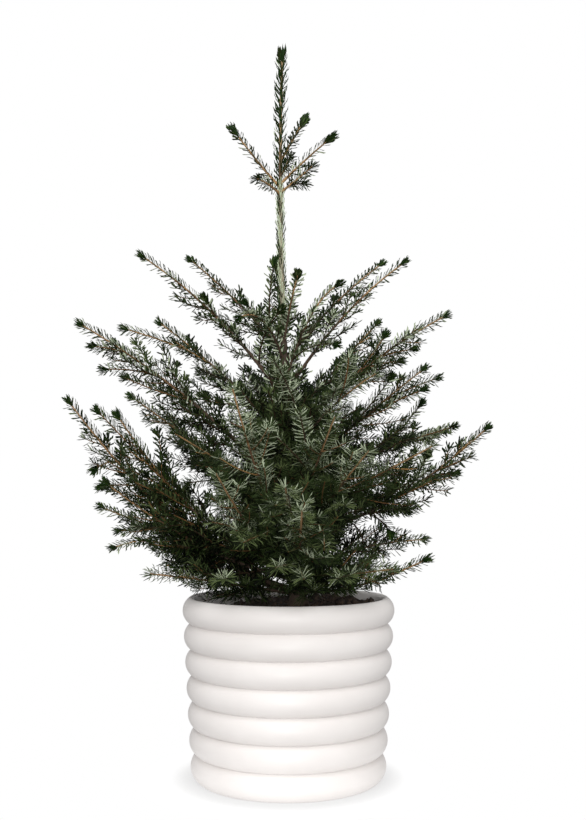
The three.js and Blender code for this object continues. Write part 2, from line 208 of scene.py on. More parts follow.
class Shader:
    """Procedural material that ends in one Principled surface."""

    def __init__(self, name: str) -> None:
        """Makes the material.

        Args:
            name: Name of the material.
        """
        self.material = bpy.data.materials.new(name)
        self.material.use_nodes = True
        self.nodes = self.material.node_tree.nodes
        self.links = self.material.node_tree.links
        self.surface = self.nodes["Principled BSDF"]

    def node(self, kind: str, settings: dict, sockets: dict) -> bpy.types.Node:
        """Adds one node.

        Args:
            kind: Blender's name for the type of node.
            settings: Properties of the node.
            sockets: Numbers, colours or fields for the node's inputs, by name or place.

        Returns:
            The node.
        """
        made = self.nodes.new(kind)
        for name, value in settings.items():
            setattr(made, name, value)
        for key, value in sockets.items():
            self.feed(made.inputs[key], value)
        return made

    def feed(self, socket: bpy.types.NodeSocket, value: object) -> None:
        """Gives an input its field, number, colour or vector.

        Args:
            socket: The input.
            value: What it takes.
        """
        if isinstance(value, Field):
            self.links.new(value.socket, socket)
        elif isinstance(value, tuple) and len(value) == 3 and socket.type == "RGBA":
            socket.default_value = (*value, 1.0)
        else:
            socket.default_value = value

    def math(self, operation: str, first: "Field | float", second: "Field | float") -> Field:
        """Result of a Math node."""
        made = self.node("ShaderNodeMath", {"operation": operation}, {0: first, 1: second})
        return Field(self, made.outputs[0])

    def blend(self, share: Field, first: "Field | Colour", second: "Field | Colour") -> Field:
        """Colour between two others.

        Args:
            share: Share of the second colour, from 0 to 1.
            first: The first colour.
            second: The second colour.

        Returns:
            The colour.
        """
        settings = {"data_type": "RGBA", "clamp_factor": True}
        made = self.node("ShaderNodeMix", settings, {0: share, 6: first, 7: second})
        return Field(self, made.outputs[2])

    def place(self, stretch: Place = (1.0, 1.0, 1.0)) -> Field:
        """Place on the object, in metres.

        Args:
            stretch: What each axis is multiplied by.

        Returns:
            The place.
        """
        source = self.node("ShaderNodeTexCoord", {}, {})
        sockets = {0: Field(self, source.outputs["Object"]), 1: stretch}
        made = self.node("ShaderNodeVectorMath", {"operation": "MULTIPLY"}, sockets)
        return Field(self, made.outputs[0])

    def height(self) -> Field:
        """Height on the object, in metres."""
        made = self.node("ShaderNodeSeparateXYZ", {}, {0: self.place()})
        return Field(self, made.outputs["Z"])

    def distance(self) -> Field:
        """Distance from the object's own middle, in metres."""
        made = self.node("ShaderNodeVectorMath", {"operation": "LENGTH"}, {0: self.place()})
        return Field(self, made.outputs["Value"])

    def noise(self, place: Field, scale: float, detail: float) -> Field:
        """Smooth noise from 0 to 1.

        Args:
            place: Where it is taken.
            scale: How fine it is.
            detail: How many finer layers it has.

        Returns:
            The noise.
        """
        sockets = {"Vector": place, "Scale": scale, "Detail": detail, "Roughness": 0.6}
        made = self.node("ShaderNodeTexNoise", {"noise_dimensions": "3D"}, sockets)
        return Field(self, made.outputs[0])

    def range(self, value: Field, least: float, most: float) -> Field:
        """Share of a value's way from its least to its most.

        Args:
            value: The value.
            least: Where the share is 0.
            most: Where the share is 1.

        Returns:
            The share, from 0 to 1.
        """
        sockets = {"Value": value, "From Min": least, "From Max": most}
        made = self.node("ShaderNodeMapRange", {"interpolation_type": "SMOOTHSTEP"}, sockets)
        return Field(self, made.outputs["Result"])

    def bump(self, depth: Field, strength: float, distance: float) -> None:
        """Roughens the surface.

        Args:
            depth: Height of the bumps, from 0 to 1.
            strength: How much of the bump is seen.
            distance: Height of a full bump, in metres.
        """
        sockets = {"Strength": strength, "Distance": distance, "Height": depth}
        made = self.node("ShaderNodeBump", {}, sockets)
        self.feed(self.surface.inputs["Normal"], Field(self, made.outputs["Normal"]))

    def dress(self, **sockets: object) -> bpy.types.Material:
        """Feeds the surface's own inputs.

        Args:
            **sockets: Values by the names of the inputs, with underscores for spaces.

        Returns:
            The material.
        """
        for name, value in sockets.items():
            self.feed(self.surface.inputs[name.replace("_", " ")], value)
        return self.material


@dataclass(frozen=True)
class PlainFinish:
    """One plain colour, dealt out to whole sprays or shoots."""

    name: str
    colour: Colour
    roughness: float
    gloss: float

    def material(self) -> bpy.types.Material:
        """Material of the finish."""
        look = {"Base_Color": self.colour, "Roughness": self.roughness, "Specular_IOR_Level": self.gloss}
        return Shader(self.name).dress(**look)


@dataclass(frozen=True)
class Glaze:
    """White satin glaze of the planter, with soft clouds and a fine grain."""

    name: str = "white_glaze"
    light: Colour = (0.840, 0.802, 0.780)
    dull: Colour = (0.800, 0.761, 0.738)
    dull_clouds: Pair = (0.35, 0.7)
    roughness: float = 0.39
    cloud_scale: float = 9.0
    grain_scale: float = 420.0
    bump_height: float = 0.0012

    def material(self) -> bpy.types.Material:
        """Material of the finish.

        Returns:
            The material.
        """
        shader = Shader(self.name)
        cloud = shader.noise(shader.place(), self.cloud_scale, 3.0)
        grain = shader.noise(shader.place(), self.grain_scale, 2.0)
        colour = shader.blend(shader.range(cloud, *self.dull_clouds), self.light, self.dull)
        shader.bump(0.75 * cloud + 0.25 * grain, 0.12, self.bump_height)
        rough = self.roughness + 0.1 * cloud + 0.04 * grain
        return shader.dress(Base_Color=colour, Roughness=rough, Coat_Weight=0.06, Coat_Roughness=0.3)


@dataclass(frozen=True)
class Earth:
    """Damp dark potting soil."""

    name: str = "potting_soil"
    dark: Colour = (0.018, 0.012, 0.009)
    light: Colour = (0.105, 0.068, 0.045)
    light_lumps: Pair = (0.38, 0.68)
    lump_scale: float = 140.0
    grit_scale: float = 700.0
    bump_height: float = 0.003

    def material(self) -> bpy.types.Material:
        """Material of the finish.

        Returns:
            The material.
        """
        shader = Shader(self.name)
        place = shader.place()
        lumps = shader.noise(place, self.lump_scale, 5.0)
        grit = shader.noise(place, self.grit_scale, 2.0)
        share = shader.range(lumps * 0.7 + grit * 0.3, *self.light_lumps)
        shader.bump(0.6 * lumps + 0.4 * grit, 0.8, self.bump_height)
        colour = shader.blend(share, self.dark, self.light)
        return shader.dress(Base_Color=colour, Roughness=0.75 + 0.2 * grit)


@dataclass(frozen=True)
class PaleFloor:
    """Plain pale floor with a painted glow, whiter away from the planter and dimmer near it as a painted
    shadow round its foot; radii in metres.
    """

    name: str = "floor_white"
    colour: Colour = (0.27, 0.27, 0.27)
    # dim glow of the painted shadow near the planter
    near: Colour = (0.59, 0.59, 0.59)
    far: Colour = (0.80, 0.80, 0.80)
    painted_shadow_radius: float = 0.132
    painted_shadow_end_radius: float = 0.176

    def material(self) -> bpy.types.Material:
        """Material of the finish.

        Returns:
            The material.
        """
        shader = Shader(self.name)
        # painted shadow: the glow fades from the near colour to the far one between the two radii
        away = shader.range(shader.distance(), self.painted_shadow_radius, self.painted_shadow_end_radius)
        light = {"Emission_Color": shader.blend(away, self.near, self.far), "Emission_Strength": 1.0}
        return shader.dress(Base_Color=self.colour, Roughness=0.9, Specular_IOR_Level=0.0, **light)


@dataclass(frozen=True)
class Bark:
    """Ridged bark, brown on old wood and paler on young wood higher up; heights in metres."""

    name: str
    old: Colour
    crack: Colour
    young: Colour
    young_from: float
    young_to: float
    ridge_scale: float = 620.0
    patch_scale: float = 60.0
    bump_height: float = 0.0012

    def material(self) -> bpy.types.Material:
        """Material of the finish.

        Returns:
            The material.
        """
        shader = Shader(self.name)
        ridges = shader.noise(shader.place((1.0, 1.0, 0.16)), self.ridge_scale, 4.0)
        patches = shader.noise(shader.place((1.0, 1.0, 0.6)), self.patch_scale, 3.0)
        age = shader.range(shader.height(), self.young_from, self.young_to)
        wood = shader.blend(age, self.old, self.young)
        tinted = shader.blend(shader.range(patches, 0.35, 0.75) * 0.45, wood, self.old)
        colour = shader.blend(shader.range(ridges, 0.52, 0.30) * 0.8, tinted, self.crack)
        shader.bump(ridges, 0.7, self.bump_height)
        return shader.dress(Base_Color=colour, Roughness=0.72 + 0.2 * patches)


class Green(Enum):
    """Needle colours, from the painted shade of those inside to the pale undersides."""

    # SHADE is painted shade for the sprays inside the crown
    SHADE = PlainFinish("needle_shade", (0.0038, 0.0056, 0.0026), 0.50, 0.05)
    DARK = PlainFinish("needle_dark", (0.0080, 0.0130, 0.0045), 0.45, 0.06)
    MIDDLE = PlainFinish("needle_middle", (0.024, 0.040, 0.011), 0.45, 0.06)
    OLIVE = PlainFinish("needle_olive", (0.018, 0.027, 0.005), 0.45, 0.06)
    # GREY is the painted highlight of pale stray needles
    GREY = PlainFinish("needle_grey", (0.104, 0.136, 0.052), 0.45, 0.06)
    FRESH = PlainFinish("needle_fresh", (0.042, 0.078, 0.013), 0.45, 0.1)
    TUFT = PlainFinish("needle_tuft", (0.015, 0.036, 0.008), 0.45, 0.08)
    UNDER_DIM = PlainFinish("needle_under_dim", (0.045, 0.069, 0.024), 0.50, 0.05)
    # UNDER_PALE is partly the needles' own silver bands and partly a painted highlight on stray needles
    UNDER_PALE = PlainFinish("needle_under_pale", (0.570, 0.650, 0.450), 0.50, 0.06)


class Wood(Enum):
    """Twig colours, from the old brown ones to the young tan ones."""

    BROWN = PlainFinish("twig_brown", (0.050, 0.031, 0.018), 0.65, 0.1)
    ORANGE = PlainFinish("twig_orange", (0.190, 0.098, 0.040), 0.60, 0.1)
    TAN = PlainFinish("twig_tan", (0.400, 0.225, 0.085), 0.60, 0.1)


@dataclass(frozen=True)
class Curve:
    """Bent path, from its root towards its bend and on to its tip."""

    root: np.ndarray
    bend: np.ndarray
    tip: np.ndarray

    def points(self, shares: np.ndarray) -> np.ndarray:
        """Points at the given parameters."""
        t = np.asarray(shares, float)[..., None]
        return (1 - t) ** 2 * self.root + 2 * t * (1 - t) * self.bend + t**2 * self.tip

    def ahead(self, shares: np.ndarray) -> np.ndarray:
        """Directions of the path at the given parameters."""
        t = np.asarray(shares, float)[..., None]
        return unit((1 - t) * (self.bend - self.root) + t * (self.tip - self.bend))

    def spaced(self, along: np.ndarray) -> np.ndarray:
        """Parameters at distances along the path."""
        return np.interp(along, self.distances(PATH_STEPS), PATH_STEPS)

    def distances(self, steps: np.ndarray) -> np.ndarray:
        """Distances along the path at rising parameters that start at 0."""
        runs = np.linalg.norm(np.diff(self.points(steps), axis=0), axis=1)
        return np.concatenate([[0.0], np.cumsum(runs)])

    def length(self) -> float:
        """Length of the path."""
        return float(self.distances(PATH_STEPS)[-1])

    def stretch(self, start: float, end: float) -> "Curve":
        """Part of the path between two parameters.

        Args:
            start: Parameter of the part's root.
            end: Parameter of its tip.

        Returns:
            The part, as a path of its own.
        """
        middle = (1 - start) * (1 - end) * self.root
        middle = middle + (start + end - 2 * start * end) * self.bend + start * end * self.tip
        return Curve(self.points(np.array(start)), middle, self.points(np.array(end)))

    def sides(self, shares: np.ndarray) -> tuple[np.ndarray, np.ndarray]:
        """Directions across the path and above it.

        Args:
            shares: Parameters of the path.

        Returns:
            A level direction and one that points up from the path, at each parameter.
        """
        ahead = self.ahead(shares)
        upright = abs(self.ahead(np.array(0.5))[2]) > UPRIGHT
        across = unit(np.cross(ahead, RIGHT if upright else UP))
        return across, np.cross(across, ahead)


@dataclass
class Joined:
    """Many small forms gathered into one mesh."""

    points: list[np.ndarray] = field(default_factory=list)
    corners: list[np.ndarray] = field(default_factory=list)
    finishes: list[np.ndarray] = field(default_factory=list)
    count: int = 0

    def add(self, points: np.ndarray, faces: np.ndarray, finish: "int | np.ndarray") -> None:
        """Adds one form.

        Args:
            points: Its points, in millimetres.
            faces: Three or four point numbers for each of its faces.
            finish: Place of the finish in the piece's list, for all faces or for each.
        """
        self.points.append(points)
        self.corners.append(faces + self.count)
        self.finishes.append(np.broadcast_to(finish, len(faces)))
        self.count += len(points)

    def piece(
        self, name: str, materials: list[bpy.types.Material], smooth: bool
    ) -> bpy.types.Object:
        """Makes the mesh and lets it ride on the part.

        Args:
            name: Name of the piece.
            materials: Its materials, in the order of the faces' finishes.
            smooth: Whether its faces are shaded as one round surface.

        Returns:
            The piece.
        """
        mesh = bpy.data.meshes.new(name)
        points = np.concatenate(self.points) * METRES
        sizes = np.concatenate([np.full(len(faces), faces.shape[1]) for faces in self.corners])
        corners = np.concatenate([faces.ravel() for faces in self.corners])
        mesh.vertices.add(len(points))
        mesh.vertices.foreach_set("co", points.astype(np.float32).ravel())
        mesh.loops.add(len(corners))
        mesh.loops.foreach_set("vertex_index", corners.astype(np.int32))
        mesh.polygons.add(len(sizes))
        mesh.polygons.foreach_set("loop_start", (np.cumsum(sizes) - sizes).astype(np.int32))
        mesh.polygons.foreach_set("material_index", np.concatenate(self.finishes).astype(np.int32))
        mesh.polygons.foreach_set("use_smooth", np.full(len(sizes), smooth))
        mesh.update(calc_edges=True)
        for material in materials:
            mesh.materials.append(material)
        made = bpy.data.objects.new(name, mesh)
        bpy.context.scene.collection.objects.link(made)
        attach(made, BODY)
        LOG.info("%s: %d triangles", name, int((sizes - 2).sum()))
        return made


def grid_faces(rows: int, sides: int) -> np.ndarray:
    """Four-cornered faces between rings of points, each ring closed on itself.

    Args:
        rows: Number of rings.
        sides: Number of points in each ring.

    Returns:
        Four point numbers for each face.
    """
    row, side = np.meshgrid(np.arange(rows - 1), np.arange(sides), indexing="ij")
    following = (side + 1) % sides
    lower = row * sides
    faces = [lower + side, lower + following, lower + sides + following, lower + sides + side]
    return np.stack(faces, axis=-1).reshape(-1, 4)


def tube(curve: Curve, along: np.ndarray, radii: np.ndarray) -> tuple[np.ndarray, np.ndarray]:
    """Rings of points round a path.

    Args:
        curve: The path.
        along: Distances of the rings along it.
        radii: Radius of every point, by ring and side.

    Returns:
        Points and faces of the tube, open at both ends.
    """
    rows, sides = radii.shape
    shares = curve.spaced(along)
    across, above = curve.sides(shares)
    turns = circle(sides)
    ring = across[:, None] * np.cos(turns)[:, None] + above[:, None] * np.sin(turns)[:, None]
    points = curve.points(shares)[:, None] + ring * radii[..., None]
    return points.reshape(-1, 3), grid_faces(rows, sides)[:, ::-1]


@dataclass(frozen=True)
class Bough:
    """One bough, as in the source.

    It leaves the trunk at a height, bearing and angle and ends at a reach and height of its own.
    It is bare for a share of its length, and may have its own share for its twigs' length.
    """

    tier: Tier
    side: str
    height: float
    bearing: float
    reach: float
    tip: float
    leave: float
    bare: float = 0.0
    twigs: float = 0.0

    def name(self) -> str:
        """Name of the bough's mass, without its kind."""
        return f"{self.tier.value}_{self.side}"

    def in_front(self) -> bool:
        """Whether the bough grows towards the camera."""
        return "front" in self.side

    def beside(self) -> bool:
        """Whether the bough grows mainly to the left or the right."""
        return self.side.startswith(("left", "right"))


# Side, height, bearing (0 right, 90 away, 180 left), reach, height of the tip, angle, bare share, twig share
WHORLS = {
    Tier.CROWN: (
        ("left", 845, 172, 70, 935, 48),
        ("right", 850, 350, 75, 915, 45),
        ("back_right", 885, 46, 50, 960, 55),
        ("front_left", 835, 233, 55, 845, 22),
        ("front_right", 838, 328, 55, 868, 25),
        ("back", 862, 72, 48, 908, 42),
    ),
    Tier.HIGH: (
        ("left", 530, 183, 210, 740, 55, 0.24),
        ("back_left", 600, 151, 165, 755, 48),
        ("right", 540, 3, 175, 735, 58, 0.24),
        ("back_right", 585, 35, 185, 755, 50),
        ("front_right", 555, 316, 105, 685, 68),
        ("front", 610, 287, 70, 700, 62),
        ("back", 565, 96, 145, 760, 55),
        ("front_left", 585, 244, 135, 630, 52),
    ),
    Tier.MIDDLE: (
        ("left", 390, 182, 305, 640, 48, 0.25),
        ("back_left", 475, 155, 220, 660, 45, 0.24),
        ("right", 475, 2, 230, 655, 47, 0.24),
        ("back_right", 490, 43, 195, 665, 45),
        ("front_left", 316, 250, 225, 525, 20),
        ("front", 352, 284, 215, 490, 32),
        ("front_right", 445, 315, 165, 555, 46),
        ("back", 450, 99, 220, 650, 42),
        ("right_lower", 415, 19, 215, 585, 40, 0.24),
    ),
    Tier.LOW: (
        ("left", 300, 189, 254, 506, -2, 0.25),
        ("back_left", 345, 150, 298, 550, 39, 0.25, 0.42),
        ("right", 340, 2, 282, 491, 4, 0.25),
        ("back_right", 385, 32, 290, 495, 32, 0.25),
        ("front_left", 296, 246, 240, 420, 6),
        ("front", 338, 268, 268, 402, 8),
        ("front_right", 320, 300, 190, 450, 36),
        ("back", 370, 92, 265, 500, 32),
        ("right_front", 360, 335, 210, 460, 24),
        ("left_front", 365, 217, 195, 475, 34),
    ),
    Tier.FOOT: (
        ("left", 258, 177, 335, 530, 12, 0.27, 0.32),
        ("left_lower", 274, 194, 270, 410, 10),
        ("back_left", 284, 163, 310, 375, 14, 0.27),
        ("left_back", 250, 142, 290, 310, 12),
        ("right", 256, 346, 184, 305, -2),
        ("back_right", 282, 32, 235, 325, 22),
        ("front_left", 252, 210, 225, 290, 12),
        ("front", 264, 271, 268, 375, 20),
        ("front_right", 260, 305, 210, 300, 16),
        ("back", 266, 89, 250, 325, 14),
    ),
}
BOUGHS = tuple(Bough(tier, *row) for tier, rows in WHORLS.items() for row in rows)

# Shoots that stand out from a bough: the share of it at which each leaves, and where its tip is
SIDE_SHOOTS = {
    "crown_front_right": [(0.3, (25, -20, 845))],
    "high_left": [(0.5, (-120, -20, 675)), (0.2, (-10, -70, 650))],
    "high_front_right": [(0.15, (65, -110, 595))],
    "high_front_left": [(0.35, (-20, -60, 720)), (0.45, (-60, -70, 660))],
    "middle_back_left": [(0.65, (-250, 60, 645))],
    "middle_left": [(0.8, (-280, -30, 605)), (0.65, (-260, -45, 570))],
    "middle_right": [(0.6, (180, 0, 605)), (0.45, (140, 0, 625)), (0.5, (160, -20, 585))],
    "middle_right_lower": [(0.7, (225, 60, 570)), (0.55, (200, 40, 550)), (0.45, (150, 10, 565))],
    "middle_front_left": [(0.6, (-50, -150, 495))],
    "middle_front": [(0.5, (-30, -150, 480)), (0.45, (15, -150, 500))],
    "middle_front_right": [(0.15, (-20, -110, 575)), (0.6, (80, -130, 575))],
    "low_left": [(0.35, (-175, -20, 420)), (0.6, (-265, -60, 510))],
    "low_left_front": [(0.4, (-140, -60, 410))],
    "low_back_right": [(0.55, (205, 100, 535)), (0.7, (245, 40, 495))],
    "low_right": [
        (0.7, (240, 0, 425)), (0.6, (195, -30, 450)), (0.45, (170, 10, 370)),
        (0.4, (145, -15, 340)), (0.3, (105, -30, 325)),
    ],
    "low_front_right": [(0.65, (85, -130, 450)), (0.4, (75, -150, 380)), (0.3, (45, -190, 325))],
    "low_front_left": [(0.55, (-95, -190, 360)), (0.45, (-65, -190, 350))],
    "low_front": [(0.6, (-25, -220, 365)), (0.35, (-55, -200, 335))],
    "foot_left": [(0.8, (-280, 0, 430)), (0.7, (-270, 0, 405))],
    "foot_back_left": [(0.7, (-255, 70, 340)), (0.6, (-265, 80, 315))],
    "foot_front": [
        (0.45, (0, -250, 395)), (0.35, (-15, -215, 305)), (0.3, (20, -205, 290)),
        (0.5, (20, -255, 385)),
    ],
    "foot_front_right": [(0.6, (60, -190, 290))],
    "foot_front_left": [(0.5, (-75, -190, 290))],
}


@dataclass
class Planter:
    """White planter: a stack of equal round rings, a little narrower at the foot."""

    radius: float = 150.0
    foot_radius: float = 137.0
    height: float = 250.0
    ring_count: int = 7
    ring_depth: float = 10.0
    ring_half_arc: float = math.radians(58)
    ring_steps: int = 18
    foot_step: float = 3.0
    rim_inner_radius: float = 133.0
    rim_drop: float = 5.0
    lip_steps: int = 6
    floor_radius: float = 119.0
    floor_thickness: float = 11.0
    middle_radius: float = 1.0
    sides: int = 120

    def wall_radius(self, height: float) -> float:
        """Radius of the plain inner wall at a height."""
        share = (height - self.floor_thickness) / (self.height - self.rim_drop - self.floor_thickness)
        return self.floor_radius + (self.rim_inner_radius - self.floor_radius) * share

    def profile(self) -> np.ndarray:
        """Section of the planter, from the middle of the underside to the middle of the floor.

        Returns:
            Radius and height of each point.
        """
        pitch = self.height / self.ring_count
        turn = np.linspace(-self.ring_half_arc, self.ring_half_arc, self.ring_steps + 1)
        depth = self.ring_depth * (1 - np.cos(turn)) / (1 - math.cos(self.ring_half_arc))
        rise = 0.5 + 0.5 * np.sin(turn) / math.sin(self.ring_half_arc)
        foot = self.foot_radius - self.ring_depth - self.foot_step
        rows = [np.array([[self.middle_radius, 0.0], [foot, 0.0]])]
        for ring in range(self.ring_count):
            share = ring / (self.ring_count - 1)
            crest = self.foot_radius + (self.radius - self.foot_radius) * share
            section = np.stack([crest - depth, pitch * (ring + rise)], axis=1)
            rows.append(section[0 if ring == 0 else 1 :])
        lip = np.linspace(0, math.pi / 2, self.lip_steps + 1)[1:]
        lip_width = self.radius - self.ring_depth - self.rim_inner_radius
        inward = self.radius - self.ring_depth - lip_width * np.sin(lip)
        rows.append(np.stack([inward, self.height - self.rim_drop * (1 - np.cos(lip))], axis=1))
        floor = self.floor_thickness
        rows.append(np.array([[self.floor_radius, floor], [self.middle_radius, floor]]))
        return np.concatenate(rows)

    def build(self) -> None:
        """Makes the planter in place of the source's solid."""
        profile = self.profile()
        turns = circle(self.sides)
        ring = np.stack([np.cos(turns), np.sin(turns), np.zeros(self.sides)], axis=1)
        points = profile[:, None, :1] * ring + profile[:, None, 1:] * UP
        joined = Joined()
        joined.add(points.reshape(-1, 3), grid_faces(len(profile), self.sides), 0)
        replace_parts(joined.piece("planter", [Glaze().material()], True), "pot")


@dataclass
class Soil:
    """Lumpy soil that fills the planter to just under its rim, lower at the left."""

    planter: Planter
    height: float = 238.0
    sunk: float = 1.0
    lump: float = 5.0
    layers: Layers = ((17, 14.0, 0.55), (44, 6.0, 0.3))
    slope: float = 14.0
    slope_from: float = -12.0
    flat_radius: float = 30.0
    flat_share: float = 0.6
    flat_lumps: float = 0.15
    wall_calm: float = 9.0
    wall_lumps: float = 0.35
    wall_gap: float = 0.3
    skirt: float = 30.0
    middle_radius: float = 1.0
    rings: int = 44
    sides: int = 132
    crumb_count: int = 520
    crumb_radius: Pair = (1.2, 4.2)
    crumb_from: float = 0.03
    crumb_rise: float = 0.3
    crumb_gap: float = 1.0
    crumb_lumps: Pair = (0.6, 1.2)
    crumb_stretch: Pair = (0.7, 1.1)
    clod_count: int = 40
    clod_radius: Pair = (5.0, 12.0)
    clod_from: float = 0.3
    clod_turns: Pair = (-0.4, 1.1)

    def top(self, radii: np.ndarray, turns: np.ndarray) -> np.ndarray:
        """Height of the soil.

        Args:
            radii: Distances from the planter's axis.
            turns: Angles round it, in radians.

        Returns:
            Height at each of these places.
        """
        edge = self.planter.wall_radius(self.height)
        rough = layered_relief(SEED, turns, radii, self.layers)
        calm = np.clip((radii - self.flat_radius * self.flat_share) / self.flat_radius, self.flat_lumps, 1)
        calm = calm * np.clip((edge - radii) / self.wall_calm + self.wall_lumps, 0, 1)
        slope = np.clip((self.slope_from - radii * np.cos(turns)) / edge, 0, 1)
        return self.height + self.lump * rough * calm - self.sunk - self.slope * slope

    def build(self) -> None:
        """Makes the soil and its crumbs in place of the source's solid."""
        edge = self.planter.wall_radius(self.height) - self.wall_gap
        radii = np.linspace(edge, self.middle_radius, self.rings)[:, None]
        turns = circle(self.sides)[None, :]
        level = self.top(radii, turns)
        points = np.stack([radii * np.cos(turns), radii * np.sin(turns), level], axis=-1)
        skirt = points[:1].copy()
        skirt[..., 2] = self.height - self.skirt
        points = np.concatenate([skirt, points])
        joined = Joined()
        joined.add(points.reshape(-1, 3), grid_faces(len(points), self.sides), 0)
        self.strew(joined, edge)
        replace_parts(joined.piece("soil_top", [Earth().material()], True), "soil")

    def strew(self, joined: Joined, edge: float) -> None:
        """Strews clods at the right and crumbs all over the soil.

        Args:
            joined: Mesh that takes the crumbs.
            edge: Radius that they stay within.
        """
        draw = np.random.default_rng(SEED)
        ball = np.array([[1, 0, 0], [0, 1, 0], [-1, 0, 0], [0, -1, 0], [0, 0, 1], [0, 0, -1]], float)
        upper = [[0, 1, 4], [1, 2, 4], [2, 3, 4], [3, 0, 4]]
        faces = np.array([*upper, [1, 0, 5], [2, 1, 5], [3, 2, 5], [0, 3, 5]])
        for number in range(self.crumb_count):
            clod = number < self.clod_count
            radius = draw.uniform(*(self.clod_radius if clod else self.crumb_radius))
            inmost = self.clod_from if clod else self.crumb_from
            out = (edge - radius - self.crumb_gap) * math.sqrt(draw.uniform(inmost, 1))
            turn = draw.uniform(*(self.clod_turns if clod else (0, FULL_TURN)))
            level = float(self.top(np.array(out), np.array(turn)))
            middle = np.array([out * math.cos(turn), out * math.sin(turn), level + self.crumb_rise * radius])
            lumpy = ball * radius * draw.uniform(*self.crumb_lumps, (len(ball), 1))
            joined.add(lumpy * draw.uniform(*self.crumb_stretch, 3) + middle, faces, 0)


@dataclass
class Trunk:
    """Leaning trunk that flares at the soil and runs on into the leading shoot."""

    curve: Curve = field(
        default_factory=lambda: Curve(
            np.array([14.0, 0.0, 238.0]), np.array([-21.0, 0.0, 700.0]), np.array([-9.5, 0.0, 1047.0])
        )
    )
    foot_radius: float = 11.0
    tip_radius: float = 2.0
    taper: float = 1.8
    flare_radius: float = 5.0
    flare_height: float = 12.0
    flare_depth: float = 2.0
    sunk: float = 8.0
    sides: int = 40
    ring_step: float = 2.4
    relief_share: float = 0.075
    layers: Layers = ((13, 9.0, 1.0), (19, 4.0, 0.6))
    slim_from: float = 620.0
    whorl_height: float = 838.0
    leader_from: float = 850.0
    barks: tuple[Bark, Bark] = (
        Bark("trunk_bark", (0.075, 0.050, 0.034), (0.030, 0.021, 0.015), (0.47, 0.42, 0.30), 0.60, 0.72),
        Bark("leader_bark", (0.090, 0.048, 0.022), (0.040, 0.022, 0.012), (0.40, 0.27, 0.14), 0.85, 0.92),
    )

    def parameter(self, height: float) -> float:
        """Parameter of the trunk's path at a height.

        Args:
            height: The height.

        Returns:
            The parameter.
        """
        foot, bend, top = self.curve.root[2], self.curve.bend[2], self.curve.tip[2]
        rise = bend - foot
        change = top - 2 * bend + foot
        return (height - foot) / (rise + math.sqrt(rise * rise + change * (height - foot)))

    def middle(self, height: float) -> np.ndarray:
        """Middle of the trunk at a height."""
        return self.curve.points(np.array(self.parameter(height)))

    def radius(self, heights: np.ndarray) -> np.ndarray:
        """Radius of the trunk.

        Args:
            heights: Heights on the trunk.

        Returns:
            Radius at each of them.
        """
        foot, top = self.curve.root[2], self.curve.tip[2]
        share = np.clip((heights - foot) / (top - foot), 0, 1)
        taper = (self.foot_radius - self.tip_radius) * (1 - share) ** self.taper
        return self.tip_radius + taper + self.flare_radius * np.exp((foot - heights) / self.flare_height)

    def build(self) -> None:
        """Makes the trunk with its bark in place of the source's solid."""
        foot = self.curve.root[2]
        whole = self.curve.stretch(self.parameter(foot - self.sunk), 1.0)
        along = np.arange(0, whole.length(), self.ring_step)
        heights = whole.points(whole.spaced(along))[:, 2]
        rough = layered_relief(SEED + 2, circle(self.sides)[None, :], along[:, None], self.layers)
        plain = self.radius(np.maximum(heights, foot - self.flare_depth))[:, None]
        joined = Joined()
        points, faces = tube(whole, along, plain * (1 + self.relief_share * rough))
        joined.add(points, faces, points[faces[:, 0], 2] > self.whorl_height)
        made = joined.piece("trunk_bark", [bark.material() for bark in self.barks], True)
        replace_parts(made, "trunk")


@dataclass(frozen=True)
class TwigRule:
    """How side twigs leave a stem, as in the source; start is counted from the stem's first twig."""

    start: float
    step: float
    leading: float
    share: float
    share_spread: float
    longest: float
    shortest: float
    spread: Pair
    droop: Pair
    bend: float
    thickness: float

    def curve(self, stem: Curve, along: float, index: int, seed: float, part: float) -> "Curve | None":
        """Path of one side twig.

        Args:
            stem: Path of the stem that carries it.
            along: Distance of its root along the stem.
            index: Its place among the stem's twigs, which gives its side.
            seed: Seed of the stem's twigs.
            part: Its length as a share of the stem beyond it.

        Returns:
            The path, or nothing where the twig would be too short.
        """
        length = stem.length()
        share = stem.spaced(np.array(along))
        root, ahead = stem.points(share), stem.ahead(share)
        across, above = stem.sides(share)
        droop = math.radians(pick(self.droop, seed, 3 * index))
        spread = math.radians(pick(self.spread, seed, 3 * index + 1))
        variety = (1 - self.share_spread, 1 + self.share_spread)
        full = part * self.share * (length - along) * pick(variety, seed, 3 * index + 2)
        size = min(self.longest, full)
        if size < self.shortest:
            return None
        aside = across * (math.cos(droop) if index % 2 else -math.cos(droop)) - above * math.sin(droop)
        out = ahead * math.cos(spread) + aside * math.sin(spread)
        bend = root + out * size / 2
        return Curve(root, bend, bend + unit(out + self.bend * ahead) * size / 2)

    def places(self, length: float, first: float) -> np.ndarray:
        """Distances of the twigs along a stem of a length, from the place of its first twig."""
        return np.arange(first + self.start, length - self.leading + END_ALLOWANCE, self.step)


@dataclass(frozen=True)
class Shoot:
    """One axis of wood that carries needles."""

    curve: Curve
    seed: float
    order: Order
    root_radius: float
    tip_radius: float
    first_needle: float

    def middle(self) -> np.ndarray:
        """Point that stands for the shoot's place in the crown."""
        return self.curve.points(MIDDLE)

    def outerness(self, bough: Bough) -> float:
        """How far the shoot is from the planter's axis, as a share of its bough's reach."""
        middle = self.middle()
        return float(np.hypot(middle[0], middle[1])) / bough.reach


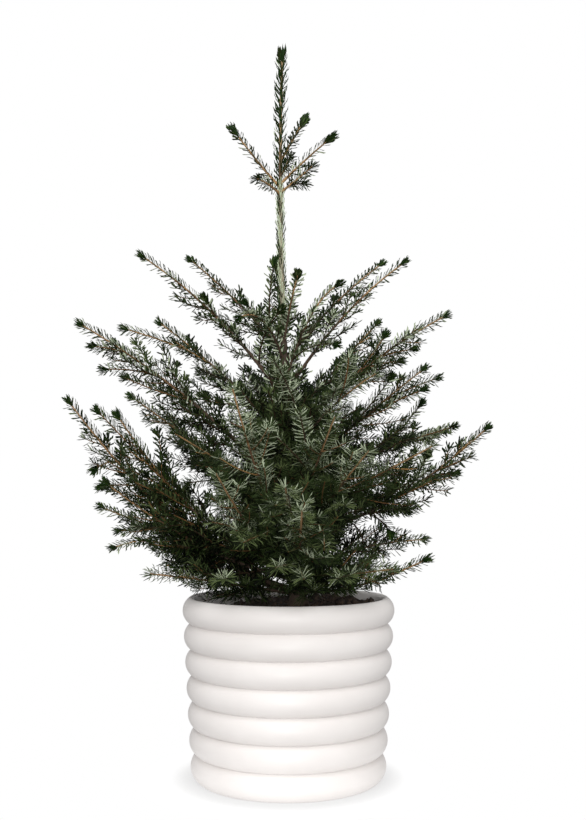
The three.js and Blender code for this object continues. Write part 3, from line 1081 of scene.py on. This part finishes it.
@dataclass(frozen=True)
class Palette:
    """Colours of one spray: upper sides, undersides, and the stray needles that have others; pale strays are
    painted highlights.
    """

    upper: Green
    upper_stray: Green
    lower: Green
    lower_stray: Green
    stray_share: float

    def shades(self, draw: np.random.Generator, count: int) -> np.ndarray:
        """Colours of a spray's needles.

        Args:
            draw: Source of the places of the stray needles.
            count: Number of needles.

        Returns:
            Places in the list of greens, for each needle's eight faces.
        """
        order = {green: place for place, green in enumerate(Green)}
        start = draw.uniform(0, 1, (2, 1))
        stray = np.modf(start + np.arange(count) * STRAY_STEP)[0] < self.stray_share
        tops = np.where(stray[0], order[self.upper_stray], order[self.upper])
        unders = np.where(stray[1], order[self.lower_stray], order[self.lower])
        return np.stack([tops, tops, tops, unders, unders, tops, tops, unders], axis=1)


class Spray(Enum):
    """Kinds of spray, from those with painted shade inside to the leading shoot and the slim trunk below it.
    """

    # INNER and DEEP carry painted shade for sprays inside the crown and low down
    INNER = Palette(Green.SHADE, Green.DARK, Green.SHADE, Green.GREY, 0.25)
    DEEP = Palette(Green.SHADE, Green.MIDDLE, Green.DARK, Green.GREY, 0.38)
    GREEN = Palette(Green.MIDDLE, Green.DARK, Green.UNDER_DIM, Green.GREY, 0.4)
    SILVER = Palette(Green.DARK, Green.MIDDLE, Green.UNDER_DIM, Green.UNDER_PALE, 0.45)
    FROSTED = Palette(Green.MIDDLE, Green.GREY, Green.UNDER_DIM, Green.UNDER_PALE, 0.5)
    TUFT = Palette(Green.TUFT, Green.FRESH, Green.MIDDLE, Green.GREY, 0.25)
    FEATHER = Palette(Green.DARK, Green.GREY, Green.UNDER_DIM, Green.UNDER_PALE, 0.5)
    CROWN = Palette(Green.OLIVE, Green.DARK, Green.MIDDLE, Green.UNDER_PALE, 0.2)
    AIRY = Palette(Green.OLIVE, Green.TUFT, Green.UNDER_DIM, Green.UNDER_PALE, 0.36)
    TOP = Palette(Green.TUFT, Green.OLIVE, Green.OLIVE, Green.UNDER_PALE, 0.3)
    TRUNK = Palette(Green.MIDDLE, Green.UNDER_PALE, Green.GREY, Green.UNDER_PALE, 0.5)


@dataclass(frozen=True)
class NeedleStyle:
    """Sizes of the needles on one kind of shoot; lengths in millimetres, angles in degrees."""

    length: Pair
    width: float = 1.9
    root_width: float = 1.2
    thickness: float = 0.8
    shoulder: float = 0.78
    twist: float = 0.5
    per_mm: float = 0.62
    spread: float = 150.0
    parting: float = 1.0
    roll: float = 75.0
    forward: float = 0.4
    lean: Pair = (48.0, 68.0)
    curl: float = 20.0
    tuft_count: int = 8
    tuft_reach: float = 9.0
    tuft_lean: float = 30.0
    tuft_length: float = 13.0
    tuft: "Spray | None" = None
    clearance: float = 9.0
    sunk: float = 0.8
    bare_end: float = 2.0
    young_share: float = 0.6
    young_length: float = 30.0
    wobble: float = 8.0
    curl_spread: Pair = (0.2, 1.6)
    tuft_crowding: float = 1.3
    tuft_sizes: Pair = (0.7, 1.1)
    tuft_leans: Pair = (0.3, 1.5)


class Foliage(Enum):
    """Needle styles: leading shoot, slim trunk, whorl, shaded inside, boughs, front boughs, and twigs."""

    TOP = NeedleStyle(
        (15.0, 20.0), 2.6, 1.8, shoulder=0.65, per_mm=0.9, spread=180.0, lean=(16.0, 37.0), curl=26.0,
        tuft_count=44, tuft_reach=13.0, tuft_lean=12.0, tuft_length=18.0,
    )
    TRUNK = NeedleStyle((11.0, 16.0), 1.6, per_mm=1.5, spread=180.0, lean=(5.0, 17.0), tuft_count=0)
    WHORL = NeedleStyle(
        (11.0, 15.0), 2.6, 1.7, per_mm=0.7, lean=(28.0, 54.0),
        tuft_count=80, tuft_reach=14.0, tuft_lean=15.0, tuft_length=15.0, tuft=Spray.TUFT,
    )
    FLUFF = NeedleStyle((12.0, 16.0), 1.9, per_mm=1.5, spread=180.0, lean=(35.0, 75.0), tuft_count=20)
    INNER = NeedleStyle((15.0, 20.0), 1.7, 1.2, per_mm=0.6)
    SLIM = NeedleStyle(
        (11.0, 15.0), 2.6, 1.7, per_mm=0.78, spread=155.0, roll=30.0, lean=(34.0, 58.0),
        tuft_count=44, tuft_lean=20.0, tuft=Spray.TUFT,
    )
    FULL = NeedleStyle(
        (12.0, 16.0), 2.4, 1.6, per_mm=1.0, spread=160.0, roll=30.0, lean=(38.0, 62.0),
        tuft_count=44, tuft_lean=22.0, tuft=Spray.TUFT,
    )
    FRONT = NeedleStyle(
        (13.5, 18.5), 0.95, 0.7, per_mm=1.3, spread=135.0, parting=0.55, roll=15.0, forward=0.2,
        lean=(52.0, 76.0), tuft_count=22, tuft_reach=8.0, tuft_lean=46.0, tuft_length=14.5, clearance=3.0,
    )
    FRONT_TWIG = NeedleStyle(
        (12.5, 17.5), 0.95, 0.7, per_mm=1.15, spread=135.0, parting=0.65, roll=40.0, forward=0.2,
        lean=(50.0, 74.0), tuft_count=16, tuft_reach=8.0, tuft_lean=46.0, tuft_length=14.0, clearance=3.0,
    )
    SLIM_END = NeedleStyle(
        (10.0, 13.5), 2.6, 1.7, per_mm=0.62, roll=40.0, lean=(34.0, 58.0),
        tuft_count=18, tuft_lean=20.0, tuft=Spray.TUFT,
    )
    FULL_END = NeedleStyle(
        (11.0, 14.5), 2.4, 1.6, per_mm=0.8, roll=40.0, lean=(38.0, 62.0), tuft_count=16, tuft_lean=34.0,
    )
    SLIM_TWIG = NeedleStyle((10.0, 13.5), 2.5, 1.6, per_mm=0.42, lean=(36.0, 60.0))
    FULL_TWIG = NeedleStyle((12.0, 16.0), 2.4, 1.5, per_mm=0.58, lean=(38.0, 62.0))


@dataclass
class Needles:
    """Needles of one mass: the six points of each, and the colours of its eight faces."""

    points: list[np.ndarray] = field(default_factory=list)
    shades: list[np.ndarray] = field(default_factory=list)

    def cover(self, shoot: Shoot, style: NeedleStyle, palette: Palette) -> None:
        """Covers one shoot with needles and gives it a tuft at its tip.

        Args:
            shoot: The shoot.
            style: Sizes of its needles.
            palette: Colours of the spray.
        """
        length = shoot.curve.length()
        draw = np.random.default_rng(int(shoot.seed * 1009) % 2**31)
        even = np.arange(shoot.first_needle, length - style.bare_end, 1 / style.per_mm)
        along = even + draw.uniform(-0.5, 0.5, len(even))
        grown = style.young_share + (along - shoot.first_needle) / style.young_length
        grown = np.clip(grown, style.young_share, 1)
        size = draw.uniform(*style.length, len(along)) * grown
        near = np.clip((length - along) / style.tuft_reach, 0, 1)
        lean = draw.uniform(*style.lean, len(along)) * (0.5 + 0.5 * near)
        self.grow(shoot, style, along, size, lean, palette, draw)
        along = length - style.tuft_reach * draw.uniform(0, 1, style.tuft_count) ** style.tuft_crowding
        size = style.tuft_length * draw.uniform(*style.tuft_sizes, style.tuft_count)
        lean = style.tuft_lean * draw.uniform(*style.tuft_leans, style.tuft_count)
        self.grow(shoot, style, along, size, lean, style.tuft.value if style.tuft else palette, draw)

    def grow(
        self,
        shoot: Shoot,
        style: NeedleStyle,
        along: np.ndarray,
        size: np.ndarray,
        lean: np.ndarray,
        palette: Palette,
        draw: np.random.Generator,
    ) -> None:
        """Adds needles at distances along a shoot, parted below it and pointing forwards above it.

        Args:
            shoot: The shoot.
            style: Sizes of its needles.
            along: Distances of the needles' roots along it.
            size: Their lengths.
            lean: Angles between needle and shoot, in degrees.
            palette: Colours of the spray.
            draw: Source of the small differences between needles.
        """
        count = len(along)
        if not count:
            return
        length = shoot.curve.length()
        shares = shoot.curve.spaced(np.clip(along, 0, length))
        ahead = shoot.curve.ahead(shares)
        across, above = shoot.curve.sides(shares)
        even = np.modf(np.arange(count) * GOLDEN_SHARE)[0] * 2 - 1
        parted = np.sign(even) * np.abs(even) ** style.parting
        turn = np.radians(style.spread * parted + draw.normal(0, style.wobble, count))
        lean = lean * (1 - style.forward * np.clip(np.cos(turn), 0, 1))
        turn = turn + math.radians(style.roll) * (2 * chance(shoot.seed, Draw.ROLL) - 1)
        out = across * np.sin(turn)[:, None] + above * np.cos(turn)[:, None]
        radius = shoot.root_radius + (shoot.tip_radius - shoot.root_radius) * along / length
        root = shoot.curve.points(shares) + out * (radius * style.sunk)[:, None]
        curl = style.curl / 2 * draw.uniform(*style.curl_spread, count)
        early, late = np.radians(lean + curl)[:, None], np.radians(lean - curl)[:, None]
        middle = root + (ahead * np.cos(early) + out * np.sin(early)) * (size * style.shoulder)[:, None]
        tip = middle + (ahead * np.cos(late) + out * np.sin(late)) * (size * (1 - style.shoulder))[:, None]
        way = unit(tip - root)
        face = above + UP + 2 * out * ahead[:, 2:] ** 2
        side = unit(np.cross(way, face) + 0.02 * RIGHT + draw.normal(0, style.twist, (count, 3)))
        side = unit(side - way * np.sum(side * way, axis=1, keepdims=True))
        wide, ridge = side * style.width / 2, np.cross(side, way) * style.thickness
        narrow = side * style.root_width / 2
        points = [root + narrow, root - narrow, middle + wide, middle + ridge, middle - wide, tip]
        points = np.stack(points, axis=1)
        kept = clear_of_pot(points[:, 2:].reshape(-1, 3), style.clearance).reshape(count, -1).all(axis=1)
        self.points.append(points[kept])
        self.shades.append(palette.shades(draw, count)[kept].ravel())

    def count(self) -> int:
        """Number of needles."""
        return sum(len(points) for points in self.points)

    def join(self, joined: Joined) -> None:
        """Adds all needles to a mesh, each with a ridged upper side and a flat underside.

        Args:
            joined: The mesh.
        """
        upper = [[0, 2, 3], [0, 3, 1], [1, 3, 4]]
        faces = np.array([*upper, [0, 1, 4], [0, 4, 2], [5, 3, 2], [5, 4, 3], [5, 2, 4]])
        for points, shades in zip(self.points, self.shades):
            numbers = faces[None] + 6 * np.arange(len(points))[:, None, None]
            joined.add(points.reshape(-1, 3), numbers.reshape(-1, 3), shades)


PLANTER = Planter()
SOIL = Soil(PLANTER)
POT_CLEARANCE = 14.0
FRONT_CLEARANCE = 3.0


def clear_of_pot(points: np.ndarray, clearance: float) -> np.ndarray:
    """Whether points are clear of the planter and the soil.

    Args:
        points: The points.
        clearance: Distance that they have to keep.

    Returns:
        True or false for each point.
    """
    radius = np.hypot(points[:, 0], points[:, 1])
    inside = radius < PLANTER.wall_radius(SOIL.height) - SOIL.lump
    ground = np.where(inside, SOIL.height + SOIL.lump, PLANTER.height)
    return (radius > PLANTER.radius + clearance) | (points[:, 2] > ground + clearance)


def path_is_clear(curve: Curve, start: float, steps: int, clearance: float) -> bool:
    """Whether a path is clear of the planter and the soil, at steps from a parameter to its tip."""
    return bool(clear_of_pot(curve.points(np.linspace(start, 1, steps)), clearance).all())


@dataclass
class Limbs:
    """Boughs of the tree, each a bent tapering limb from the trunk to its tip."""

    trunk: Trunk
    bend_share: float = 0.45
    thickness: float = 0.011
    least_radius: float = 2.2
    tip_radius: float = 1.0
    taper: float = 1.4
    sides: int = 8
    ring_step: float = 5.0
    least_rings: int = 6
    relief_share: float = 0.1
    waves: int = 4
    pitch: float = 7.0
    bark_ages: Pair = (0.5, 0.72)
    barks: tuple[Bark, ...] = (
        Bark("bough_bark_old", (0.07, 0.044, 0.028), (0.026, 0.018, 0.013), (0.11, 0.068, 0.042), 0.3, 0.66),
        Bark("bough_bark_brown", (0.15, 0.08, 0.038), (0.056, 0.033, 0.018), (0.235, 0.13, 0.06), 0.36, 0.66),
        Bark("bough_bark_young", (0.32, 0.18, 0.078), (0.16, 0.086, 0.038), (0.46, 0.27, 0.115), 0.36, 0.66),
    )

    def path(self, bough: Bough) -> Curve:
        """Path of a bough from the trunk's middle to its tip.

        Args:
            bough: The bough.

        Returns:
            The path.
        """
        root = self.trunk.middle(bough.height)
        angle = math.radians(bough.bearing)
        out = np.array([math.cos(angle), math.sin(angle), 0.0])
        rise = math.tan(math.radians(bough.leave))
        bend = root + self.bend_share * bough.reach * (out + rise * UP)
        tip = root + bough.reach * out
        tip[2] = bough.tip
        return Curve(root, bend, tip)

    def radius(self, length: float) -> float:
        """Radius of a bough where it leaves the trunk."""
        return max(self.least_radius, self.thickness * length)

    def build(self) -> None:
        """Makes every bough's limb with its bark, from the trunk to its tip."""
        joined = Joined()
        turns = circle(self.sides)[None, :]
        for index, bough in enumerate(BOUGHS):
            path = self.path(bough)
            length = path.length()
            along = np.linspace(0, length, max(self.least_rings, int(length / self.ring_step)))
            thicker = self.radius(length) - self.tip_radius
            plain = self.tip_radius + (thicker * (1 - along / length) ** self.taper)[:, None]
            rough = relief(LIMB_BARK_SEED + index, turns, along[:, None], self.waves, self.pitch)
            points, faces = tube(path, along, plain * (1 + self.relief_share * rough))
            reached = np.arange(len(faces)) / len(faces) + (1.0 if bough.tier is Tier.CROWN else 0.0)
            joined.add(points, faces, np.digitize(reached, self.bark_ages))
        boughs = joined.piece("boughs_bark", [bark.material() for bark in self.barks], True)
        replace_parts(boughs, *[f"{bough.name()}_bough" for bough in BOUGHS if bough.bare])


@dataclass
class Growth:
    """Shoots of every bough: its stem, the twigs on it and the finer twigs on those."""

    limbs: Limbs
    shoots: dict[str, list[Shoot]] = field(default_factory=dict)
    first_needle: float = 4.0
    first_twig: float = 24.0
    shaded_needle: float = 12.0
    shaded_length: float = 55.0
    twig_share: dict[Tier, float] = field(
        default_factory=lambda: {Tier.HIGH: 0.32, Tier.MIDDLE: 0.46, Tier.LOW: 0.52, Tier.FOOT: 0.44}
    )
    main: TwigRule = TwigRule(
        start=0, step=40, leading=66, share=1.0, share_spread=0.25, longest=110, shortest=12,
        spread=(32, 52), droop=(-10, 60), bend=0.7, thickness=0.62,
    )
    between: TwigRule = TwigRule(
        start=-18, step=13, leading=55, share=0.92, share_spread=0.35, longest=105, shortest=18,
        spread=(34, 58), droop=(-65, 75), bend=0.7, thickness=0.5,
    )
    sparse: TwigRule = replace(between, step=24)
    fine: TwigRule = TwigRule(
        start=14, step=17, leading=32, share=1.0, share_spread=0.3, longest=60, shortest=18,
        spread=(36, 56), droop=(-40, 40), bend=0.6, thickness=0.6,
    )
    fine_share: float = 0.65
    twig_least_radius: float = 0.9
    twig_slimming: float = 0.8
    side_bend: float = 0.45
    side_ahead: float = 0.6
    inner_from: float = 275.0
    inner_to: float = 560.0
    inner_step: float = 2.6
    inner_length: Pair = (80.0, 150.0)
    inner_shortened: Pair = (60.0, 200.0)
    inner_rise: Pair = (8.0, 50.0)
    inner_lift: float = 18.0

    def grow(self) -> None:
        """Grows every bough's shoots: the stem, its twigs, and the twigs of those."""
        for index, bough in enumerate(BOUGHS):
            self.shoots[bough.name()] = self.branch(bough, SEED + index)
        paths = {bough.name(): self.limbs.path(bough) for bough in BOUGHS}
        rows = [(name, *row) for name, shoots in SIDE_SHOOTS.items() for row in shoots]
        for index, (name, share, tip) in enumerate(rows):
            self.shoots[name].append(self.side_shoot(paths[name], share, tip, SIDE_SHOOT_SEED + index))
        for shoot in self.inner_shoots():
            self.shoots[self.nearest(shoot)].extend([shoot, *self.twiglets(shoot, POT_CLEARANCE)])

    def side_shoot(self, path: Curve, share: float, tip: Place, seed: float) -> Shoot:
        """Shoot that leaves its bough forwards and bends to its own tip.

        Args:
            path: Path of its bough.
            share: How far along the bough it leaves.
            tip: Where its tip is.
            seed: Seed of its needles.

        Returns:
            The shoot.
        """
        root, ahead = path.points(np.array(share)), path.ahead(np.array(share))
        end = np.array(tip, float)
        way = end - root
        bend = root + self.side_bend * np.linalg.norm(way) * unit(self.side_ahead * ahead + unit(way))
        curve = Curve(root, bend, end)
        return Shoot(curve, seed, Order.STEM, root_radius=1.4, tip_radius=0.8, first_needle=4.0)

    def inner_shoots(self) -> list[Shoot]:
        """Short shoots that leave the trunk between the boughs, all the way round it.

        Returns:
            The shoots that are clear of the planter.
        """
        made = []
        spare, shortened = self.inner_shortened
        for index, height in enumerate(np.arange(self.inner_from, self.inner_to, self.inner_step)):
            seed = INNER_SHOOT_SEED + index
            turn = index * GOLDEN_TURN
            rise = math.radians(pick(self.inner_rise, seed, Draw.RISE))
            root = self.limbs.trunk.middle(float(height))
            out = np.array([math.cos(turn), math.sin(turn), 0.0])
            full = pick(self.inner_length, seed, Draw.LENGTH)
            size = full * min(1.0, (self.inner_to + spare - height) / shortened)
            bend = root + (out * math.cos(rise) + UP * math.sin(rise)) * size / 2
            steeper = rise + math.radians(self.inner_lift)
            tip = bend + (out * math.cos(steeper) + UP * math.sin(steeper)) * size / 2
            curve = Curve(root, bend, tip)
            shoot = Shoot(curve, seed, Order.TWIG, root_radius=1.8, tip_radius=0.9, first_needle=12.0)
            if path_is_clear(curve, start=0.2, steps=9, clearance=POT_CLEARANCE):
                made.append(shoot)
        return made

    def nearest(self, shoot: Shoot) -> str:
        """Name of the mass whose stem comes nearest to the middle of a shoot.

        Args:
            shoot: The shoot.

        Returns:
            The name.
        """
        middle = shoot.middle()
        gaps = {
            name: np.linalg.norm(shoots[0].curve.points(np.linspace(0, 1, 17)) - middle, axis=1).min()
            for name, shoots in self.shoots.items()
        }
        return min(gaps, key=gaps.get)

    def branch(self, bough: Bough, seed: int) -> list[Shoot]:
        """Shoots of one bough.

        Args:
            bough: The bough.
            seed: Its seed, as in the source.

        Returns:
            Its stem first, then the twigs that it carries.
        """
        path = self.limbs.path(bough)
        length = path.length()
        curve = path.stretch(float(path.spaced(np.array(bough.bare * length))), 1.0)
        root_radius = self.limbs.radius(length)
        start_radius = root_radius + (self.limbs.tip_radius - root_radius) * bough.bare
        first_needle = self.first_needle if bough.bare else self.shaded_needle
        stem = Shoot(curve, seed, Order.STEM, start_radius, self.limbs.tip_radius, first_needle)
        shoots = [stem]
        if bough.tier is Tier.CROWN:
            return shoots
        clearance = FRONT_CLEARANCE if bough.in_front() else POT_CLEARANCE
        between = self.sparse if bough.tier in (Tier.HIGH, Tier.MIDDLE) else self.between
        for rule, salt in ((self.main, 0), (between, BETWEEN_SEED)):
            for twig in self.twigs(bough, stem, rule, seed + salt, clearance):
                shoots.append(twig)
                if twig.outerness(bough) < OUTER_SHARE:
                    shoots.extend(self.twiglets(twig, clearance))
        return shoots

    def twigs(self, bough: Bough, stem: Shoot, rule: TwigRule, seed: int, clearance: float) -> list[Shoot]:
        """Twigs of one bough's stem.

        Args:
            bough: The bough.
            stem: Its stem.
            rule: How the twigs leave it.
            seed: Seed of the twigs.
            clearance: Distance that they keep from the planter.

        Returns:
            The twigs that are clear of the planter.
        """
        made = []
        length = stem.curve.length()
        share = bough.twigs or self.twig_share[bough.tier]
        first = self.first_twig if bough.bare else self.shaded_length
        for index, along in enumerate(rule.places(length, first)):
            curve = rule.curve(stem.curve, float(along), index, seed, share)
            if curve is None or not path_is_clear(curve, start=0, steps=9, clearance=clearance):
                continue
            stem_radius = stem.root_radius + (stem.tip_radius - stem.root_radius) * along / length
            radius = max(self.twig_least_radius, self.twig_slimming * (rule.thickness * stem_radius))
            own_seed = seed + TWIG_SEED_STEP * (index + 1)
            made.append(Shoot(curve, own_seed, Order.TWIG, radius, tip_radius=0.6, first_needle=5.0))
        return made

    def twiglets(self, twig: Shoot, clearance: float) -> list[Shoot]:
        """Finer twigs of one twig.

        Args:
            twig: The twig.
            clearance: Distance that they keep from the planter.

        Returns:
            The finer twigs that are clear of the planter.
        """
        made = []
        for index, along in enumerate(self.fine.places(twig.curve.length(), 0.0)):
            seed = twig.seed + TWIGLET_SEED_STEP * (index + 1)
            curve = self.fine.curve(twig.curve, float(along), index, seed, self.fine_share)
            if curve is None or not path_is_clear(curve, start=0, steps=7, clearance=clearance):
                continue
            made.append(Shoot(curve, seed, Order.TWIGLET, root_radius=0.7, tip_radius=0.5, first_needle=4.0))
        return made


@dataclass
class Twigs:
    """Wood of the twigs, each in one of the wood colours."""

    shoots: dict[str, list[Shoot]]
    sides: int = 5
    twiglet_sides: int = 3
    rings: int = 3
    ring_step: float = 20.0
    ages: Pair = (0.85, 1.2)
    variety: float = 0.5

    def build(self) -> None:
        """Makes all twigs, each in one of the wood colours."""
        joined = Joined()
        for bough in BOUGHS:
            for shoot in self.shoots[bough.name()][1:]:
                length = shoot.curve.length()
                along = np.linspace(0, length, self.rings + int(length / self.ring_step))
                sides = self.twiglet_sides if shoot.order is Order.TWIGLET else self.sides
                radii = np.interp(along, [0, length], [shoot.root_radius, shoot.tip_radius])
                young = chance(shoot.seed, Draw.WOOD) * self.variety + shoot.outerness(bough)
                points, faces = tube(shoot.curve, along, np.repeat(radii[:, None], sides, axis=1))
                joined.add(points, faces, int(np.digitize(young, self.ages)))
        joined.piece("twigs", [wood.value.material() for wood in Wood], True)


@dataclass
class Greenery:
    """Needles of the tree: what colours and sizes each shoot's needles have, and the pieces they make."""

    trunk: Trunk
    shoots: dict[str, list[Shoot]]
    end_length: float = 55.0
    # shares, heights and tones that deal painted shade inside and low down, and painted light high up
    inner_share: float = 0.46
    front_inner_share: float = 0.3
    inner_height: float = 440.0
    deep_height: float = 520.0
    painted_light_from: float = 370.0
    painted_light_rise: float = 300.0
    painted_light_limits: Pair = (-0.5, 1.0)
    painted_light_weight: float = 0.5
    side_tone: float = 0.8
    other_tone: float = 0.5
    frosted_tone: float = 1.25
    inside_deep_tone: float = 0.6
    outside_deep_tone: float = 0.2
    slender_crown: tuple[str, ...] = ("left", "right", "back_right")
    piece_needles: int = 24500

    def palette(self, bough: Bough, shoot: Shoot) -> Palette:
        """Colours dealt to one spray, with painted light and shade: paler high up, outside and in front,
        darker low down, inside and at the sides.

        Args:
            bough: The bough that carries it.
            shoot: The shoot.

        Returns:
            The colours.
        """
        if bough.tier is Tier.CROWN:
            return Spray.CROWN.value
        outer = shoot.outerness(bough)
        height = shoot.middle()[2]
        # painted light: sprays higher up take paler palettes more often
        pale = np.clip((height - self.painted_light_from) / self.painted_light_rise, *self.painted_light_limits)
        tone = chance(shoot.seed, Draw.TONE) + self.painted_light_weight * pale
        inner_share = self.front_inner_share if bough.in_front() else self.inner_share
        # painted shade: sprays inside the crown and low down take the darkest palette
        if outer < inner_share and height < self.inner_height:
            return Spray.INNER.value
        if shoot.order is Order.STEM:
            if bough.tier in (Tier.HIGH, Tier.MIDDLE) and not bough.in_front():
                return Spray.AIRY.value
            # painted shade: side boughs take darker palettes more often than front ones
            return (Spray.GREEN if bough.beside() and tone < self.side_tone else Spray.FEATHER).value
        if outer < OUTER_SHARE and height < self.deep_height:
            return (Spray.DEEP if tone < self.inside_deep_tone else Spray.GREEN).value
        if tone > (self.side_tone if bough.beside() else self.other_tone):
            return (Spray.SILVER if tone < self.frosted_tone else Spray.FROSTED).value
        return (Spray.DEEP if tone < self.outside_deep_tone else Spray.GREEN).value

    def style(self, bough: Bough, shoot: Shoot) -> NeedleStyle:
        """Needle style of a shoot, by its tier, its side and its order.

        Args:
            bough: The bough that carries it.
            shoot: The shoot.

        Returns:
            The style.
        """
        stem = shoot.order is Order.STEM
        if bough.tier is Tier.CROWN:
            return (Foliage.WHORL if stem and bough.side in self.slender_crown else Foliage.FLUFF).value
        if self.palette(bough, shoot) is Spray.INNER.value:
            return Foliage.INNER.value
        slim = bough.tier is Tier.HIGH
        if bough.in_front() and not slim:
            return (Foliage.FRONT if stem else Foliage.FRONT_TWIG).value
        if stem:
            return (Foliage.SLIM if slim else Foliage.FULL).value
        long = shoot.order is Order.TWIG and shoot.curve.length() > self.end_length
        if long and shoot.outerness(bough) > OUTER_SHARE:
            return (Foliage.SLIM_END if slim else Foliage.FULL_END).value
        return (Foliage.SLIM_TWIG if slim else Foliage.FULL_TWIG).value

    def build(self) -> None:
        """Makes all needles, joined into pieces by tier, in place of the source's masses."""
        materials = [green.value.material() for green in Green]
        for tier in Tier:
            masses = self.leader_needles() if tier is Tier.LEADER else self.tier_needles(tier)
            batch: dict[str, Needles] = {}
            number = 1
            for name, needles in masses.items():
                if batch and needles.count() + sum(n.count() for n in batch.values()) > self.piece_needles:
                    self.join(f"needles_{tier.value}_{number}", batch, materials)
                    batch = {}
                    number += 1
                batch[name] = needles
            self.join(f"needles_{tier.value}_{number}", batch, materials)

    def join(self, name: str, batch: dict[str, Needles], materials: list[bpy.types.Material]) -> None:
        """Makes one piece of several masses' needles.

        Args:
            name: Name of the piece.
            batch: Needles by the name of their mass.
            materials: Materials of the needle colours, in their order.
        """
        joined = Joined()
        for needles in batch.values():
            needles.join(joined)
        made = joined.piece(name, materials, False)
        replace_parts(made, *[f"{mass}_sprays" for mass in batch])

    def tier_needles(self, tier: Tier) -> dict[str, Needles]:
        """Needles of every mass of one tier.

        Args:
            tier: The tier.

        Returns:
            Needles by the name of their mass.
        """
        masses = {}
        for bough in BOUGHS:
            if bough.tier is tier:
                needles = Needles()
                for shoot in self.shoots[bough.name()]:
                    needles.cover(shoot, self.style(bough, shoot), self.palette(bough, shoot))
                masses[bough.name()] = needles
        return masses

    def leader_needles(self) -> dict[str, Needles]:
        """Needles of the leading shoot, pressed close to it, and those on the slim trunk below it.

        Returns:
            The needles, by the name of their mass.
        """
        trunk = self.trunk
        slim_start, leader_start = trunk.parameter(trunk.slim_from), trunk.parameter(trunk.leader_from)
        leader = trunk.curve.stretch(leader_start, 1.0)
        slim = trunk.curve.stretch(slim_start, leader_start)
        needles = Needles()
        top = Shoot(leader, SEED, Order.STEM, root_radius=3.0, tip_radius=2.0, first_needle=2.0)
        needles.cover(top, Foliage.TOP.value, Spray.TOP.value)
        below = Shoot(slim, SEED + 1, Order.STEM, root_radius=4.6, tip_radius=3.0, first_needle=0.0)
        needles.cover(below, Foliage.TRUNK.value, Spray.TRUNK.value)
        return {"leader": needles}


@dataclass(frozen=True)
class SoftLight:
    """One soft light, far off, that faces the tree.

    Bearing and height are in degrees: a bearing of 180 is behind the camera and 0 behind the tree.
    Softness is how many degrees wide the light is, seen from the tree.
    """

    name: str
    bearing: float
    height: float
    softness: float
    power: float

    def hang(self) -> None:
        """Hangs the light."""
        data = bpy.data.lights.new(self.name, "SUN")
        data.angle = math.radians(self.softness)
        data.energy = self.power
        made = bpy.data.objects.new(self.name, data)
        made.rotation_euler = (math.radians(90 - self.height), 0.0, math.radians(180 - self.bearing))
        made.location = 2 * UP
        bpy.context.scene.collection.objects.link(made)


@dataclass
class Studio:
    """Pale floor, its radius in metres, soft light and the camera at the photograph's angle."""

    camera_place: Place = (6.3, -1481.0, 392.0)
    camera_pitch: float = 4.8
    lens: float = 45.1
    sensor: float = 36.0
    floor_radius: float = 0.21
    floor_sides: int = 96
    ambient: float = 0.47
    lights: tuple[SoftLight, ...] = (
        SoftLight("key", 180.0, 52.0, 55.0, 1.5),
        SoftLight("fill", 180.0, 7.0, 14.0, 1.3),
        SoftLight("rear", 0.0, 60.0, 60.0, 0.5),
    )

    def build(self) -> None:
        """Makes the floor, the light and the camera."""
        self.light_world()
        self.lay_floor()
        for light in self.lights:
            light.hang()
        self.set_camera()

    def light_world(self) -> None:
        """Gives the world an even white light, which the lens sees as plain white."""
        world = bpy.data.worlds.new("studio")
        world.use_nodes = True
        nodes, links = world.node_tree.nodes, world.node_tree.links
        seen = nodes.new("ShaderNodeLightPath")
        strength = nodes.new("ShaderNodeMapRange")
        strength.inputs["To Min"].default_value = self.ambient
        links.new(seen.outputs["Is Camera Ray"], strength.inputs["Value"])
        links.new(strength.outputs["Result"], nodes["Background"].inputs["Strength"])
        nodes["Background"].inputs["Color"].default_value = (1.0, 1.0, 1.0, 1.0)
        bpy.context.scene.world = world
        bpy.context.scene.view_settings.view_transform = "Standard"

    def lay_floor(self) -> None:
        """Lays the plain pale floor, a round disc."""
        mesh = bpy.data.meshes.new("floor")
        turns = circle(self.floor_sides)
        edge = self.floor_radius * np.stack([np.cos(turns), np.sin(turns), 0 * turns], axis=1)
        mesh.from_pydata(edge.tolist(), [], [tuple(range(self.floor_sides))])
        mesh.materials.append(PaleFloor().material())
        floor = bpy.data.objects.new("floor", mesh)
        bpy.context.scene.collection.objects.link(floor)

    def set_camera(self) -> None:
        """Sets the camera where the photograph was taken."""
        data = bpy.data.cameras.new("camera")
        data.lens = self.lens
        data.sensor_width = self.sensor
        data.sensor_fit = "AUTO"
        made = bpy.data.objects.new("camera", data)
        made.location = [METRES * value for value in self.camera_place]
        made.rotation_euler = (math.radians(90 + self.camera_pitch), 0.0, 0.0)
        bpy.context.scene.collection.objects.link(made)
        bpy.context.scene.camera = made


def main() -> None:
    """Builds the planter, the soil, the tree and the studio."""
    logging.basicConfig(level=logging.INFO, format="%(name)s: %(message)s")
    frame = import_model()
    LOG.info("frame of %d nodes", len(frame["nodes"]))
    PLANTER.build()
    SOIL.build()
    trunk = Trunk()
    trunk.build()
    limbs = Limbs(trunk)
    limbs.build()
    growth = Growth(limbs)
    growth.grow()
    Twigs(growth.shoots).build()
    Greenery(trunk, growth.shoots).build()
    Studio().build()
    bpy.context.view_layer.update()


if __name__ == "__main__":
    main()
